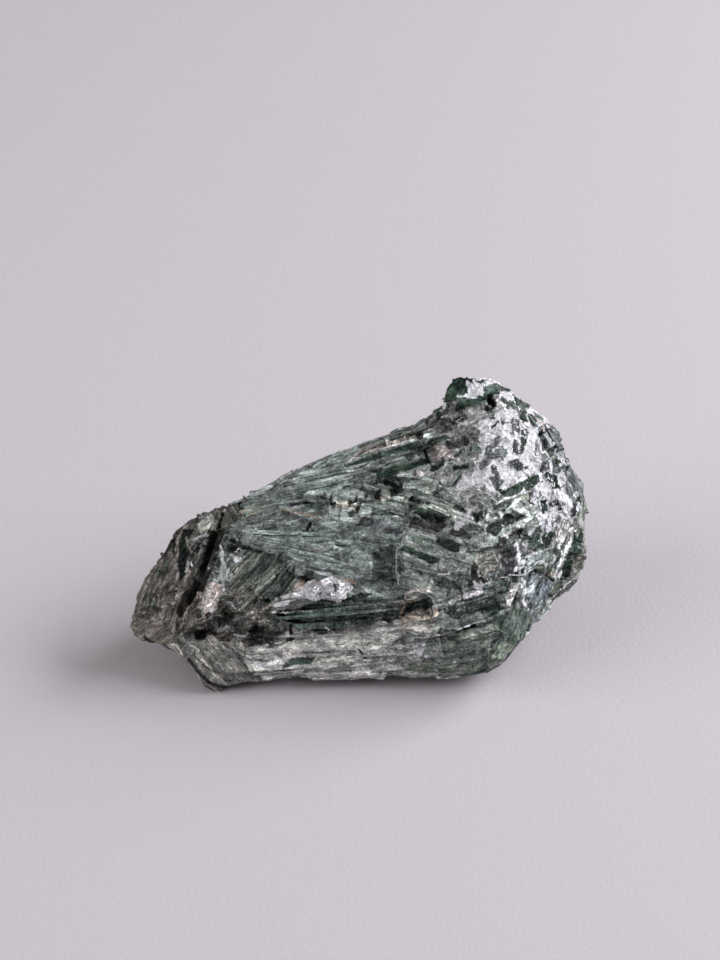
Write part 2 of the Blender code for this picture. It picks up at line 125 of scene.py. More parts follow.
CRUMBLY = {"cut": 0.35, "warp": 1.6}  # crumbly talc and grains
FOLDED = {"wave": 0.42, "cut": 0.35, "warp": 0.5}  # folded schist
ZONES = {
    # display side, from the narrow end to the broad end
    "knob": Zone("display", -44.5, -17, 63, 16, 8, 1.0, 9, 0.4, ("schist_dark", "schist"), 0.0, grit=0.14,
                 film=0.15, contrast=1.2, stretch=3.2, **FOLDED),
    "knob_low": Zone("display", -52, -30, 66, 12, 9, 0.9, 6, 0.3, ("schist_dark", "schist_pale"), 0.0,
                     wave=0.42, grit=0.12, film=0.12, contrast=1.15, cut=0.3, warp=0.55, stretch=3.2),
    "knob_tip": Zone("display", -56, -40, 30, 8, 5, 0.9, 6, 0.3, ("schist", "schist_pale"), 0.0,
                     wave=0.25, grit=0.15, film=0.15, contrast=0.8, cut=0.3, warp=0.6, stretch=3.0),
    "cleft_lip": Zone("display", -35.5, -20, 62, 10, 6, 1.6, 6, 0.6, ("black", "silky"), 0.3, grit=0.5,
                      contrast=1.1, warp=0.8, cut=0.5, film=0.9),
    "slant": Zone("display", -24.5, -24, 51, 10, 9.0, 0.6, 22, 0.5, ("green", "pale_olive"), 0.0,
                  field="blade", thick=0.22, film=0.45, contrast=1.05, stretch=2.0),
    "fan_root": Zone("display", -24, -9.5, 4, 10, 4.5, 0.9, 14, 0.4, ("green", "talc_shade"), 0.12,
                     field="blade", thick=0.25, cut=0.3, warp=0.35),
    "fan": Zone("display", -10, -17.5, -15, 27, 11, 1.25, 22, 0.45, ("green", "silky"), 0.10, apex=27,
                field="blade", thick=0.14, cut=0.3, warp=0.35),
    "fan_steps": Zone("display", -4, -5.0, -12, 14, 6, 2.8, 6, 1.0, ("green", "silky"), 0.10, grit=0.3,
                      field="block", thick=0.3),
    "ridge": Zone("display", 0, 4.0, 19, 25, 4.0, 1.2, 34, 0.8, ("green", "silky"), 0.05, field="blade",
                  thick=0.55, film=0.65, contrast=1.25),
    "ridge_rim": Zone("display", -4, 7.2, 19.5, 25, 2.0, 0.9, 28, 0.6, ("schist", "silky"), 0.10,
                      field="blade", thick=0.6),
    "granular_pit": Zone("display", -32, -37, 20, 13, 8, 2.2, 3.2, 0.5, ("black", "schist"), 0.03,
                         grit=0.85, film=0.32, cut=0.3, warp=1.0, fill=0.55, contrast=1.5),
    "pink_fleck": Zone("display", -39.0, -31.5, 60, 5, 1.8, 1.2, 3, 0.4, ("rose", "rose"), 0.5, grit=0.5,
                       **CRUMBLY),
    "talc_patch": Zone("display", -8.5, -28.4, 14, 9.5, 3.4, 1.2, 5, 0.6, ("talc", "talc_grey"), 0.78,
                       grit=0.6, film=1.0, contrast=1.3, **CRUMBLY),
    "patch_foot": Zone("display", -19, -32.7, 12, 7, 2.6, 1.0, 7, 0.5, ("dark", "talc_grey"), 0.34,
                       field="fibre", thick=0.3),
    "shelf": Zone("display", -3, -35.8, 3, 24, 4.0, 1.3, 24, 0.7, ("dark", "green"), 0.03, field="blade",
                  thick=0.5, film=0.4),
    "shelf_right": Zone("display", 5.0, -34.7, 3, 10, 3.2, 1.3, 22, 0.4, ("green", "silky"), 0.0,
                        film=0.5),
    "hem": Zone("display", -4, -46, 4, 30, 6.2, 1.1, 13, 0.6, ("talc_shade", "bone"), 0.22, grit=0.38,
                field="fibre", thick=0.06, cut=0.3, warp=0.9, contrast=0.85, stretch=2.2),
    "hem_right": Zone("display", 9.5, -45.5, 8, 12, 5.2, 1.4, 8, 0.6, ("green", "talc_grey"), 0.2,
                      grit=0.5, cut=0.5, warp=0.8, film=0.9, contrast=1.1),
    "lobe": Zone("display", -37, -49, -48, 12, 8, 0.8, 4, 0.4, ("schist", "talc_shade"), 0.0, wave=0.12,
                 grit=0.22, film=0.5, cut=0.15, contrast=1.15, warp=0.8, stretch=3.0),
    "heart": Zone("display", 25, -9.0, -20, 9, 5, 1.8, 12, 0.8, ("green", "pale"), 0.08, field="blade",
                  thick=0.6, film=0.95, contrast=1.25, fill=0.3),
    "heart_speckled": Zone("display", 27.5, -6.0, 20, 7, 4.0, 1.6, 4, 0.6, ("dark", "talc_grey"), 0.3,
                           grit=0.7, cut=0.35, warp=1.4, film=1.0, contrast=1.35),
    "heart_left": Zone("display", 12, -3, -16, 9, 6, 2.2, 7, 0.9, ("green", "pale"), 0.18, grit=0.4,
                       field="block", thick=0.3, film=1.0),
    "dark_square": Zone("display", 7.2, -24.5, -12, 4.0, 5.0, 6.0, 9, 0.3, ("slate", "slate"), 0.0),
    "step": Zone("display", 20, -21.5, -14, 12, 8, 2.4, 10, 0.8, ("silky", "pale"), 0.1, vein=0.0,
                 field="block", thick=0.4, film=1.0, contrast=1.15, fill=0.35, cut=0.7),
    "blocks": Zone("display", 42, -18, 20, 14, 14, 4.4, 11, 0.9, ("dark", "pale"), 0.20, vein=0.5,
                   grit=0.3, field="block", thick=0.35, warp=0.7, film=0.9, contrast=1.15),
    "low_blocks": Zone("display", 31, -33.5, 17, 11, 5, 3.6, 11, 0.7, ("dark", "silky"), 0.10, vein=0.0,
                       field="block", thick=0.4, warp=0.7, film=0.8),
    "talc_top": Zone("display", 41.5, 10.5, 48, 12, 15, 3.0, 5, 0.6, ("talc", "talc_grey"), 1.0,
                     grit=0.55, field="stray", thick=0.4, blades=("dark", "slate"), **CRUMBLY),
    "talc_edge": Zone("display", 50, -1, 76, 14, 6, 3.4, 8, 0.8, ("green", "slate"), 0.8, vein=0.5,
                      grit=0.4, field="stray", thick=0.5, blades=("deep", "slate"), cut=0.7, warp=0.9),
    "talc_rim": Zone("display", 54.5, 1.0, 78, 15, 6, 3.2, 6, 0.7, ("slate", "talc"), 0.68, grit=0.6,
                     cut=0.35, warp=1.4),
    "grey_shoulder": Zone("display", 24.5, 8.5, 32, 10, 8, 1.8, 5, 0.9, ("green", "talc_grey"), 0.32,
                          grit=0.8, field="stray", thick=0.25, blades=("green", "silky"), film=1.0,
                          **CRUMBLY),
    "crest": Zone("display", 31, 19, 17, 12, 5.0, 2.6, 8, 0.7, ("dark", "talc_grey"), 0.3, grit=0.6,
                  field="stray", thick=0.5, blades=("deep", "slate"), **CRUMBLY),
    "crest_crystal": Zone("display", 27.0, 25.4, 60, 4.5, 3.6, 4.0, 8, 0.3, ("deep", "green"), 0.0,
                          film=0.15),
    "crest_bar": Zone("display", 31.5, 21.9, 17, 7, 1.7, 3.4, 14, 0.3, ("deep", "green"), 0.0, film=0.15),
    "right_edge": Zone("display", 53, -17, 66, 14, 4.5, 3.0, 11, 0.8, ("slate", "silky"), 0.38, vein=0.5,
                       grit=0.3, field="block", thick=0.4, blades=("deep", "silky"), warp=0.7, film=0.9,
                       contrast=1.2),
    "blue_blade": Zone("display", 48.3, -30, 62, 6, 2.2, 3.0, 14, 0.4, ("sea", "sea_pale"), 0.0),
    "corner": Zone("display", 27, -45.5, 14, 16, 5.5, 3.6, 15, 0.5, ("green", "pale_olive"), 0.06,
                   vein=0.0, field="blade", thick=0.3, film=0.7, contrast=0.95),
    "corner_edge": Zone("display", 39, -43, 55, 9, 6, 2.4, 9, 0.5, ("green", "olive"), 0.08,
                        field="blade", thick=0.3, film=0.35, contrast=0.9),
    # other sides
    "back_fan": Zone("back", 2, 4, 12, 30, 13, 2.4, 18, 0.9, ("green", "silky"), 0.14, apex=60,
                     field="blade", thick=0.7),
    "back_low": Zone("back", -4, -17, -5, 34, 9, 2.0, 15, 0.8, ("dark", "silky"), 0.3, grit=0.3,
                     field="blade", thick=0.5),
    "back_foot": Zone("back", 0, -30, 2, 40, 5, 1.0, 12, 0.5, ("schist", "talc_grey"), 0.45, grit=0.4,
                      field="fibre", thick=0.4, contrast=0.7, cut=0.7),
    "back_knob": Zone("back", 46, -13, -58, 14, 12, 1.2, 8, 0.5, ("schist_dark", "schist"), 0.12,
                      grit=0.15, field="fibre", thick=0.1, film=0.25, contrast=0.7, stretch=3.0,
                      **FOLDED),
    "back_talc": Zone("back", -44, 14, 60, 14, 12, 3.0, 5, 0.7, ("talc", "talc_grey"), 0.7, grit=0.6,
                      field="stray", thick=0.8, blades=("deep", "green"), **CRUMBLY),
    "back_blocks": Zone("back", -46, -8, 35, 12, 12, 4.0, 10, 0.9, ("deep", "slate"), 0.2, vein=0.8,
                        grit=0.3, field="block", thick=0.4, warp=0.7),
    "ridge_top": Zone("top", 4, 0, -168, 26, 7, 1.5, 28, 0.8, ("green", "silky"), 0.1, field="blade",
                      thick=0.8, film=0.7),
    "broad_high": Zone("broad", 20, 16, 65, 12, 10, 3.0, 6, 0.7, ("talc", "talc_grey"), 0.65, grit=0.6,
                       field="stray", thick=0.8, blades=("deep", "green"), **CRUMBLY),
    "broad_low": Zone("broad", 12, -10, 60, 14, 14, 4.2, 10, 0.9, ("dark", "slate"), 0.22, vein=0.9,
                      grit=0.3, field="block", thick=0.4, warp=0.7, deep=8.0),
    "broad_foot": Zone("broad", 10, -27, 20, 22, 7, 1.2, 9, 0.5, ("olive", "talc_shade"), 0.15, grit=0.4,
                       field="fibre", thick=0.4, stretch=2.0, warp=0.5),
    "narrow_end": Zone("narrow", -4, -16, 60, 12, 10, 1.2, 8, 0.5, ("schist_dark", "schist"), 0.12,
                       grit=0.15, field="fibre", thick=0.1, film=0.25, contrast=0.7, stretch=3.0,
                       **FOLDED),
    "underside": Zone("under", 0, 0, 12, 60, 34, 1.4, 12, 0.4, ("schist", "talc_grey"), 0.35, grit=0.4,
                      deep=2.5),
}


class Mark(NamedTuple):
    """A line or patch on the display side, along (x, y) points from the picture's top left corner."""

    kind: str  # talc, crack (sunk, and darkened with painted shade), pale or rust film, or a crystal's colour from PALETTE
    width: float  # mm
    points: tuple


PICTURE = (720, 960)
PICTURE_HEIGHT = 0.256  # what the picture's height shows at the view distance, metres
MARKS = {
    # clefts, pits and shadow gaps, all darkened with painted shade
    "knob_cleft": Mark("crack", 0.8, ((222, 513), (218, 525), (213, 538), (209, 552), (205, 565),
        (200, 578), (194, 590), (188, 603))),
    "slant_notch": Mark("crack", 0.8, ((262, 601), (270, 601), (278, 596))),
    "hem_end": Mark("crack", 0.9, ((291, 627), (292, 638), (282, 644), (270, 647))),
    "shelf_foot": Mark("crack", 0.9, ((277, 615), (292, 620), (309, 623), (340, 621), (366, 618))),
    "hem_nick": Mark("crack", 0.5, ((358, 650), (366, 659))),
    "step_right": Mark("crack", 1.4, ((359, 502), (357, 510), (351, 514))),
    "step_left": Mark("crack", 0.8, ((331, 497), (333, 505))),
    "step_low": Mark("crack", 1.0, ((309, 524), (306, 529), (302, 533))),
    "rose_step": Mark("crack", 1.1, ((379, 490), (376, 496))),
    "heart_cave": Mark("crack", 1.4, ((386, 483), (393, 486), (399, 489))),
    "crest_mould": Mark("black", 1.7, ((491, 401), (486, 410))),
    "shoulder_cave": Mark("crack", 2.0, ((448, 444), (456, 443), (465, 440))),
    "ridge_end": Mark("crack", 2.0, ((419, 434), (424, 440))),
    "shoulder_gap": Mark("crack", 1.1, ((424, 452), (428, 460))),
    "ridge_nick_1": Mark("crack", 0.8, ((246, 490), (255, 491), (262, 486))),
    "ridge_nick_2": Mark("crack", 0.9, ((301, 479), (305, 483))),
    "corner_shade": Mark("crack", 0.6, ((433, 640), (457, 634), (475, 627))),
    # the slot's hollow, painted black for its shade
    "slot": Mark("black", 2.3, ((407, 608), (416, 605), (428, 603))),
    "joint": Mark("crack", 0.8, ((549, 577), (552, 580))),
    "pit_cave": Mark("crack", 0.9, ((196, 636), (204, 634), (211, 630))),

    # dark crystals
    "crest_left": Mark("deep", 3.2, ((450, 400), (454, 389), (460, 381))),
    "crest_low": Mark("deep", 2.0, ((456, 408), (466, 404), (476, 399), (490, 393), (503, 387), (511, 390))),
    "crest_dots_1": Mark("deep", 1.4, ((437, 411), (440, 420))),
    "crest_dots_2": Mark("deep", 1.0, ((428, 415), (426, 424))),
    "crest_dots_3": Mark("deep", 1.3, ((450, 422), (458, 420), (466, 416))),
    "shoulder_crystal": Mark("deep", 1.7, ((428, 443), (436, 441), (447, 436))),
    "shoulder_line_1": Mark("deep", 0.9, ((448, 460), (455, 455), (461, 450))),
    "shoulder_line_2": Mark("deep", 1.6, ((430, 468), (437, 466), (443, 462))),
    "shoulder_line_3": Mark("deep", 1.2, ((452, 467), (460, 467), (467, 466))),
    "ridge_band": Mark("deep", 1.7, ((348, 468), (365, 461), (385, 454), (405, 447), (420, 443))),
    "ridge_line": Mark("deep", 0.6, ((368, 449), (385, 443), (400, 437), (418, 431))),
    "ridge_low": Mark("deep", 1.9, ((376, 473), (390, 471), (402, 468), (418, 463), (428, 459))),
    "heart_1": Mark("black", 2.4, ((410, 507), (427, 514), (443, 519))),
    "heart_2": Mark("plum", 3.0, ((411, 520), (426, 525), (441, 528))),
    "heart_3": Mark("green_light", 1.9, ((409, 536), (420, 540), (431, 544))),
    "block_strip": Mark("green", 1.1, ((534, 534), (532, 548))),
    "talc_rim_green": Mark("green", 1.1, ((564, 449), (571, 459))),
    "crest_mix": Mark("green", 1.7, ((484, 389), (500, 384))),
    "heart_patch": Mark("green", 1.7, ((444, 543), (458, 548))),
    "heart_4": Mark("deep", 2.0, ((402, 548), (416, 553), (436, 562))),
    "heart_5": Mark("deep", 1.4, ((436, 540), (447, 546), (456, 551))),
    "heart_6": Mark("plum", 1.8, ((450, 532), (460, 533), (470, 538))),
    "block_top": Mark("deep", 2.8, ((504, 493), (523, 485), (541, 477))),
    "block_dark": Mark("black", 3.3, ((490, 531), (505, 522), (519, 514))),
    "block_plum": Mark("plum", 2.3, ((499, 541), (510, 538), (521, 533))),
    "block_plum_2": Mark("plum", 2.0, ((522, 544), (527, 556))),
    "block_green": Mark("deep", 4.1, ((537, 541), (551, 540))),
    "block_small": Mark("deep", 1.3, ((494, 508), (506, 503))),
    "block_brown": Mark("black", 1.5, ((474, 514), (478, 521))),
    "knob_dark_1": Mark("black", 2.6, ((184, 575), (181, 550), (188, 530))),
    "knob_dark_2": Mark("black", 0.8, ((173, 552), (173, 537))),
    # dark brown schist beside the knob_cleft crack, also painting the shade that fades out of that crack
    "cleft_side_shade": Mark("schist_dark", 2.2, ((221, 528), (215, 548), (209, 568), (199, 590))),
    "slant_head": Mark("black", 1.1, ((231, 540), (243, 547), (262, 552))),
    "knob_dark_3": Mark("black", 1.0, ((196, 552), (199, 543))),
    "pit_dark_1": Mark("black", 1.6, ((225, 609), (232, 617))),
    "block_dark_2": Mark("black", 1.3, ((529, 496), (533, 504))),
    "right_dot_4": Mark("black", 0.9, ((562, 503), (562, 512))),
    "block_speckled": Mark("plum", 4.3, ((509, 546), (511, 575))),
    "block_square": Mark("dark", 4.8, ((473, 577), (481, 577))),
    "right_dot_1": Mark("deep", 2.1, ((544, 501), (547, 512))),
    "right_dot_2": Mark("dark", 2.3, ((552, 505), (561, 502))),
    "right_dot_3": Mark("black", 2.1, ((572, 513), (577, 508))),
    "talc_dot_11": Mark("black", 0.7, ((503, 456), (504, 460))),
    "talc_triangle": Mark("black", 2.6, ((552, 476), (558, 487))),
    "right_green": Mark("deep", 2.2, ((563, 576), (568, 566), (575, 548), (581, 532))),
    "right_green_2": Mark("green_light", 1.2, ((574, 560), (581, 546))),
    "right_dark": Mark("deep", 0.8, ((541, 582), (532, 598))),
    "talc_dot_1": Mark("plum", 2.3, ((516, 419), (517, 433))),
    "talc_dot_2": Mark("dark", 1.7, ((525, 430), (524, 442), (522, 452))),
    "talc_dot_3": Mark("deep", 1.2, ((503, 417), (504, 423))),
    "talc_dot_4": Mark("dark", 0.9, ((491, 427), (499, 420))),
    "talc_dot_5": Mark("dark", 0.7, ((495, 439), (500, 436))),
    "talc_dot_6": Mark("dark", 1.0, ((504, 446), (508, 453))),
    "talc_crystal": Mark("murk", 2.9, ((514, 460), (522, 469))),
    "talc_granular": Mark("slate", 3.2, ((491, 470), (500, 485))),
    "talc_grey_1": Mark("slate", 2.4, ((545, 456), (545, 468))),
    "talc_line_1": Mark("dark", 0.5, ((537, 440), (537, 455))),
    "talc_line_2": Mark("dark", 0.6, ((542, 438), (543, 451))),
    "talc_edge_dot": Mark("deep", 1.1, ((547, 473), (552, 478))),
    "low_dark_1": Mark("dark", 1.0, ((464, 602), (475, 598), (485, 594))),
    "low_dark_2": Mark("deep", 3.0, ((490, 612), (500, 606))),
    "hem_slab": Mark("green", 1.7, ((284, 665), (297, 661), (312, 661))),
    "block_slit": Mark("deep", 1.4, ((524, 563), (525, 575))),
    "low_dark_3": Mark("deep", 1.3, ((501, 585), (508, 585))),
    "talc_dot_10": Mark("deep", 1.2, ((560, 463), (564, 458))),
    "crest_end": Mark("deep", 2.1, ((513, 401), (530, 405))),
    "crest_peak_1": Mark("deep", 1.0, ((480, 381), (487, 377))),
    "crest_peak_2": Mark("deep", 1.0, ((491, 379), (501, 378))),
    "heart_1b": Mark("deep", 1.1, ((410, 507), (424, 512))),
    "crest_mould_2": Mark("deep", 1.2, ((494, 402), (490, 411))),
    "fan_dark_1": Mark("slate", 1.6, ((282, 513), (295, 517), (306, 521))),
    "fan_dark_2": Mark("plum", 1.4, ((291, 503), (299, 503))),
    "fan_dark_3": Mark("dark", 1.3, ((311, 530), (318, 536))),
    "pit_dark_3": Mark("dark", 1.6, ((253, 627), (256, 643))),
    "hem_line_1": Mark("dark", 0.4, ((255, 661), (268, 662))),
    "heart_7": Mark("black", 1.4, ((410, 499), (428, 504))),
    "slant_head_2": Mark("black", 2.4, ((227, 547), (238, 552))),
    "patch_dark": Mark("black", 1.3, ((302, 609), (312, 606), (324, 604))),
    "low_square_2": Mark("dark", 1.6, ((453, 585), (462, 589))),
    "talc_dot_7": Mark("dark", 1.3, ((522, 412), (525, 421))),
    "talc_bar": Mark("dark", 0.7, ((551, 448), (560, 448))),
    "crest_slit": Mark("dark", 0.9, ((510, 401), (508, 408))),
    "crest_mix_2": Mark("dark", 1.2, ((500, 380), (512, 388))),
    "ridge_dark": Mark("dark", 0.5, ((366, 470), (384, 464), (398, 460))),
    "ridge_block": Mark("dark", 2.6, ((378, 479), (396, 477))),
    "patch_gap": Mark("dark", 0.6, ((333, 582), (336, 592))),
    "low_dark_4": Mark("dark", 1.6, ((468, 584), (488, 582))),
    "fan_dark_4": Mark("slate", 2.1, ((361, 521), (378, 523), (400, 534))),
    "pit_lilac": Mark("slate", 1.3, ((236, 621), (243, 614))),
    "hem_line_2": Mark("slate", 0.4, ((302, 654), (334, 652))),
    "low_slate": Mark("slate", 1.6, ((529, 604), (538, 609))),
    "talc_dot_8": Mark("slate", 1.3, ((540, 428), (548, 430))),
    "talc_rim_dark": Mark("slate", 0.7, ((572, 464), (572, 484))),
    "talc_grey_2": Mark("slate", 1.1, ((548, 437), (550, 446))),
    "shoulder_slate": Mark("slate", 1.3, ((470, 433), (476, 441))),
    "fan_plum": Mark("plum", 1.7, ((322, 496), (328, 501))),
    "fan_plum_2": Mark("slate", 1.8, ((362, 489), (374, 493))),

    # other crystals
    "ridge_rose": Mark("rose", 1.2, ((350, 457), (365, 451), (385, 445), (400, 441), (418, 435))),
    "shoulder_rose": Mark("rose", 3.2, ((432, 455), (441, 450), (450, 452))),
    "cleft_rose": Mark("rose", 2.3, ((213, 583), (217, 592), (209, 602), (202, 611))),
    "fan_bone_1": Mark("beige", 2.2, ((336, 504), (355, 506))),
    "fan_bone_2": Mark("beige", 2.0, ((377, 498), (388, 495))),
    "block_beige_1": Mark("beige", 5.0, ((478, 566), (499, 558))),
    "block_olive": Mark("olive", 1.8, ((538, 570), (553, 570))),
    "right_olive": Mark("olive", 2.2, ((561, 578), (552, 594))),
    "blue_blade_1": Mark("sea", 2.4, ((550, 583), (540, 603))),

    # talc
    "crest_white": Mark("talc", 2.0, ((469, 383), (472, 391), (479, 388))),
    "crest_white_2": Mark("talc", 1.1, ((458, 397), (470, 395), (480, 391))),
    "crest_white_3": Mark("talc", 0.7, ((458, 426), (466, 421))),
    "knob_white_1": Mark("pale", 1.3, ((194, 540), (199, 536), (206, 534))),
    "knob_white_2": Mark("talc", 0.9, ((191, 562), (194, 566))),
    "white_slab": Mark("talc", 3.4, ((461, 485), (470, 481), (480, 476), (487, 472))),
    "upper_seam": Mark("white", 0.9, ((504, 488), (515, 483), (528, 476))),
    "standing_seam": Mark("talc", 0.9, ((540, 438), (541, 472), (543, 495))),
    "left_seam": Mark("pale", 0.8, ((481, 492), (484, 504), (483, 520), (487, 535))),
    "white_wedge": Mark("white", 0.7, ((515, 508), (518, 503), (521, 499))),
    "blade_seam": Mark("white", 0.7, ((497, 503), (507, 498), (518, 494))),
    "middle_white": Mark("talc", 2.3, ((457, 527), (468, 518))),
    "middle_seam": Mark("pale", 0.9, ((472, 536), (471, 558), (469, 575))),
    "block_seam_1": Mark("talc", 0.8, ((502, 537), (513, 532), (520, 528))),
    "block_seam_2": Mark("pale", 0.6, ((489, 540), (494, 552), (498, 562))),
    "block_seam_3": Mark("white", 0.5, ((518, 542), (520, 560), (521, 576))),
    "block_seam_4": Mark("talc", 0.7, ((500, 578), (512, 576), (524, 575), (534, 569))),
    "low_seam": Mark("white", 0.9, ((525, 581), (524, 592), (523, 602), (527, 608))),
    "right_seam": Mark("white", 0.8, ((554, 576), (562, 563), (568, 548), (574, 535), (578, 527))),
    "right_patch": Mark("talc", 1.9, ((541, 518), (550, 514), (562, 514), (572, 519))),
    "beige_seam": Mark("talc", 0.6, ((526, 558), (540, 552), (554, 547))),
    "low_white": Mark("white", 1.5, ((463, 597), (472, 594), (482, 591))),
    "low_white_2": Mark("white", 1.0, ((450, 603), (457, 599), (463, 596))),
    "slot_lip": Mark("bone", 2.0, ((405, 597), (416, 594), (429, 590))),
    "corner_line": Mark("white", 0.35, ((432, 637), (445, 634), (457, 631), (474, 624))),
    "corner_streak": Mark("white", 0.9, ((425, 657), (434, 655), (443, 655))),
    "cleft_white": Mark("talc", 0.8, ((220, 545), (223, 552), (222, 560))),
    "knob_white_3": Mark("pale", 0.5, ((200, 545), (204, 541), (210, 540))),
    "cleft_white_3": Mark("talc", 0.8, ((235, 572), (238, 568))),
    "pit_ring": Mark("pale", 1.1, ((217, 622), (219, 629), (227, 626))),
    "pit_white": Mark("pale", 0.9, ((235, 635), (243, 637), (249, 634))),
    "pit_dot": Mark("pale", 0.6, ((203, 643), (205, 642))),
    "lobe_line": Mark("pale", 0.6, ((248, 672), (258, 674), (268, 675))),
    "hem_white_1": Mark("white", 0.9, ((255, 667), (268, 664), (281, 660))),
    "hem_white_3": Mark("talc", 0.8, ((326, 628), (335, 633))),
    "hem_white_4": Mark("talc", 0.7, ((322, 640), (335, 638))),
    "parting_1": Mark("pale", 0.5, ((397, 548), (396, 560), (397, 575), (399, 585))),
    "parting_2": Mark("pale", 0.5, ((438, 637), (441, 651))),
    "fan_line": Mark("pale", 0.5, ((255, 541), (266, 547), (278, 554))),
    "fan_line_2": Mark("pale", 0.4, ((327, 558), (337, 561), (348, 564))),
    "fan_white_1": Mark("pale", 1.2, ((342, 486), (352, 491), (363, 497))),
    "fan_white_2": Mark("pale", 1.6, ((333, 511), (340, 513), (346, 517))),
    "heart_line": Mark("green_light", 0.4, ((408, 502), (428, 509), (444, 516))),
    "heart_line_2": Mark("talc", 0.6, ((407, 540), (418, 544))),
    "heart_line_3": Mark("talc", 0.35, ((409, 531), (424, 535), (434, 537))),
    "step_white": Mark("talc", 0.9, ((438, 573), (449, 573))),
    "step_dot_1": Mark("talc", 0.7, ((402, 572), (404, 574))),
    "step_dot_2": Mark("talc", 0.8, ((412, 574), (415, 576))),
    "patch_dot": Mark("talc", 1.0, ((366, 590), (369, 592))),
    "white_wedge_2": Mark("white", 0.7, ((523, 493), (533, 490))),
    "patch_white_1": Mark("white", 1.7, ((313, 591), (322, 583), (331, 580))),
    "patch_white_2": Mark("white", 1.3, ((338, 592), (352, 588))),
    "beige_seam_2": Mark("talc", 0.7, ((529, 569), (536, 563), (542, 561))),
    "rim_white": Mark("talc", 0.9, ((549, 603), (559, 593), (570, 582))),
    "shoulder_line": Mark("pale", 1.1, ((430, 434), (440, 431))),
    "cleft_pale": Mark("pale", 1.6, ((221, 553), (224, 566), (222, 578))),
    "knob_pale": Mark("pale", 1.2, ((186, 570), (188, 562))),
    "cleft_white_2": Mark("pale", 1.3, ((232, 555), (240, 562))),
    "pit_pale": Mark("pale", 0.6, ((228, 601), (237, 611))),
    "parting_4": Mark("pale", 0.45, ((409, 521), (405, 533), (401, 544))),
    "shelf_line": Mark("pale", 0.5, ((345, 615), (370, 612), (395, 609))),
    "parting_5": Mark("pale", 0.5, ((466, 560), (464, 575), (463, 588))),
    "ridge_pale_1": Mark("pale", 0.4, ((346, 477), (370, 468), (390, 461), (404, 456))),
    "ridge_pale_2": Mark("pale", 0.35, ((342, 471), (356, 466), (366, 463))),
    "ridge_slab_line": Mark("pale", 0.5, ((410, 471), (417, 469))),
    "fan_slab_line": Mark("pale", 0.4, ((367, 485), (378, 489))),

    # iron stain
    "slot_sill": Mark("cream", 2.3, ((402, 621), (420, 616), (438, 611))),
    "rust_line_1": Mark("rust", 0.6, ((238, 512), (250, 511), (257, 511))),
    "rust_line_2": Mark("rust", 0.6, ((281, 510), (300, 512), (308, 514), (317, 518))),
    "rust_line_3": Mark("rust", 0.4, ((254, 536), (258, 542), (269, 546))),
    "rust_line_4": Mark("rust", 0.5, ((315, 549), (322, 551))),
    "rust_patch_1": Mark("rust", 1.5, ((293, 592), (298, 587), (301, 583))),
    "rust_patch_2": Mark("rust", 0.9, ((347, 580), (355, 583))),
    "rust_crest": Mark("rust", 0.9, ((542, 421), (547, 425))),
    "rust_joint": Mark("rust", 0.9, ((550, 575), (556, 574))),
    "rust_slot_1": Mark("rust", 0.5, ((400, 618), (402, 610), (406, 604), (415, 600))),
    "rust_slot_2": Mark("rust", 0.4, ((401, 628), (419, 625), (437, 620))),
    "rust_crest_2": Mark("rust", 1.0, ((532, 415), (538, 419))),
    "rust_slot_3": Mark("rust", 0.4, ((410, 590), (420, 589), (430, 587))),
    "knob_streak_1": Mark("schist_pale", 0.4, ((177, 556), (178, 546), (176, 535))),
    "knob_streak_2": Mark("schist_pale", 0.5, ((191, 552), (188, 545), (186, 537))),
    "right_brown": Mark("schist_pale", 2.0, ((577, 570), (583, 558))),
    "knob_cap": Mark("talc_shade", 3.0, ((200, 527), (212, 518))),
    "ridge_shine": Mark("green_light", 0.5, ((382, 470), (398, 464), (412, 459))),
    "shoulder_green": Mark("green_light", 1.6, ((474, 446), (481, 452))),
    "knob_grey": Mark("talc_shade", 1.6, ((198, 579), (200, 563), (205, 547))),
    "hem_bone": Mark("bone", 2.4, ((284, 655), (298, 651))),
    "square": Mark("murk", 6.2, ((383, 552), (383, 577))),
    "low_square": Mark("murk", 3.0, ((439, 583), (452, 586))),
    "wedge_cream": Mark("pale_olive", 2.2, ((520, 503), (531, 494))),
    "talc_dot_9": Mark("pale_olive", 1.5, ((551, 459), (557, 455))),
    "right_silky": Mark("talc_grey", 3.4, ((557, 545), (568, 525))),
    "low_grey": Mark("talc_grey", 1.5, ((517, 584), (508, 606))),
    "ridge_slab": Mark("talc_grey", 1.6, ((412, 475), (423, 474))),
    "block_silky": Mark("silky", 3.0, ((530, 562), (556, 553))),
    "ridge_silk": Mark("silky", 1.3, ((350, 470), (375, 462), (400, 455), (424, 449))),
    "blue_blade_3": Mark("sea_pale", 2.3, ((537, 575), (529, 597))),
    "crest_end_2": Mark("schist", 1.0, ((520, 396), (529, 400))),
    "pit_shade": Mark("schist_dark", 4.2, ((195, 634), (212, 628))),
    "pit_dark_6": Mark("schist_dark", 1.8, ((222, 612), (232, 617))),
    # painted shade along the lower edges of the lobe and the knob, over the floor
    "lobe_foot_shade": Mark("schist_dark", 1.2, ((187, 661), (197, 673), (209, 683), (222, 689), (238, 691),
        (252, 689))),
    "knob_foot_shade": Mark("schist_dark", 1.0, ((143, 637), (155, 646), (170, 651))),
    "patch_brown": Mark("schist_dark", 2.4, ((300, 581), (313, 575))),
    "patch_streak_1": Mark("talc", 0.8, ((272, 612), (284, 614), (300, 612))),
    "patch_streak_3": Mark("talc", 1.5, ((276, 606), (288, 602))),
}

ZONE_RAGGED = (1.6, 5.0)  # height and size of the raggedness of borders between zones, mm

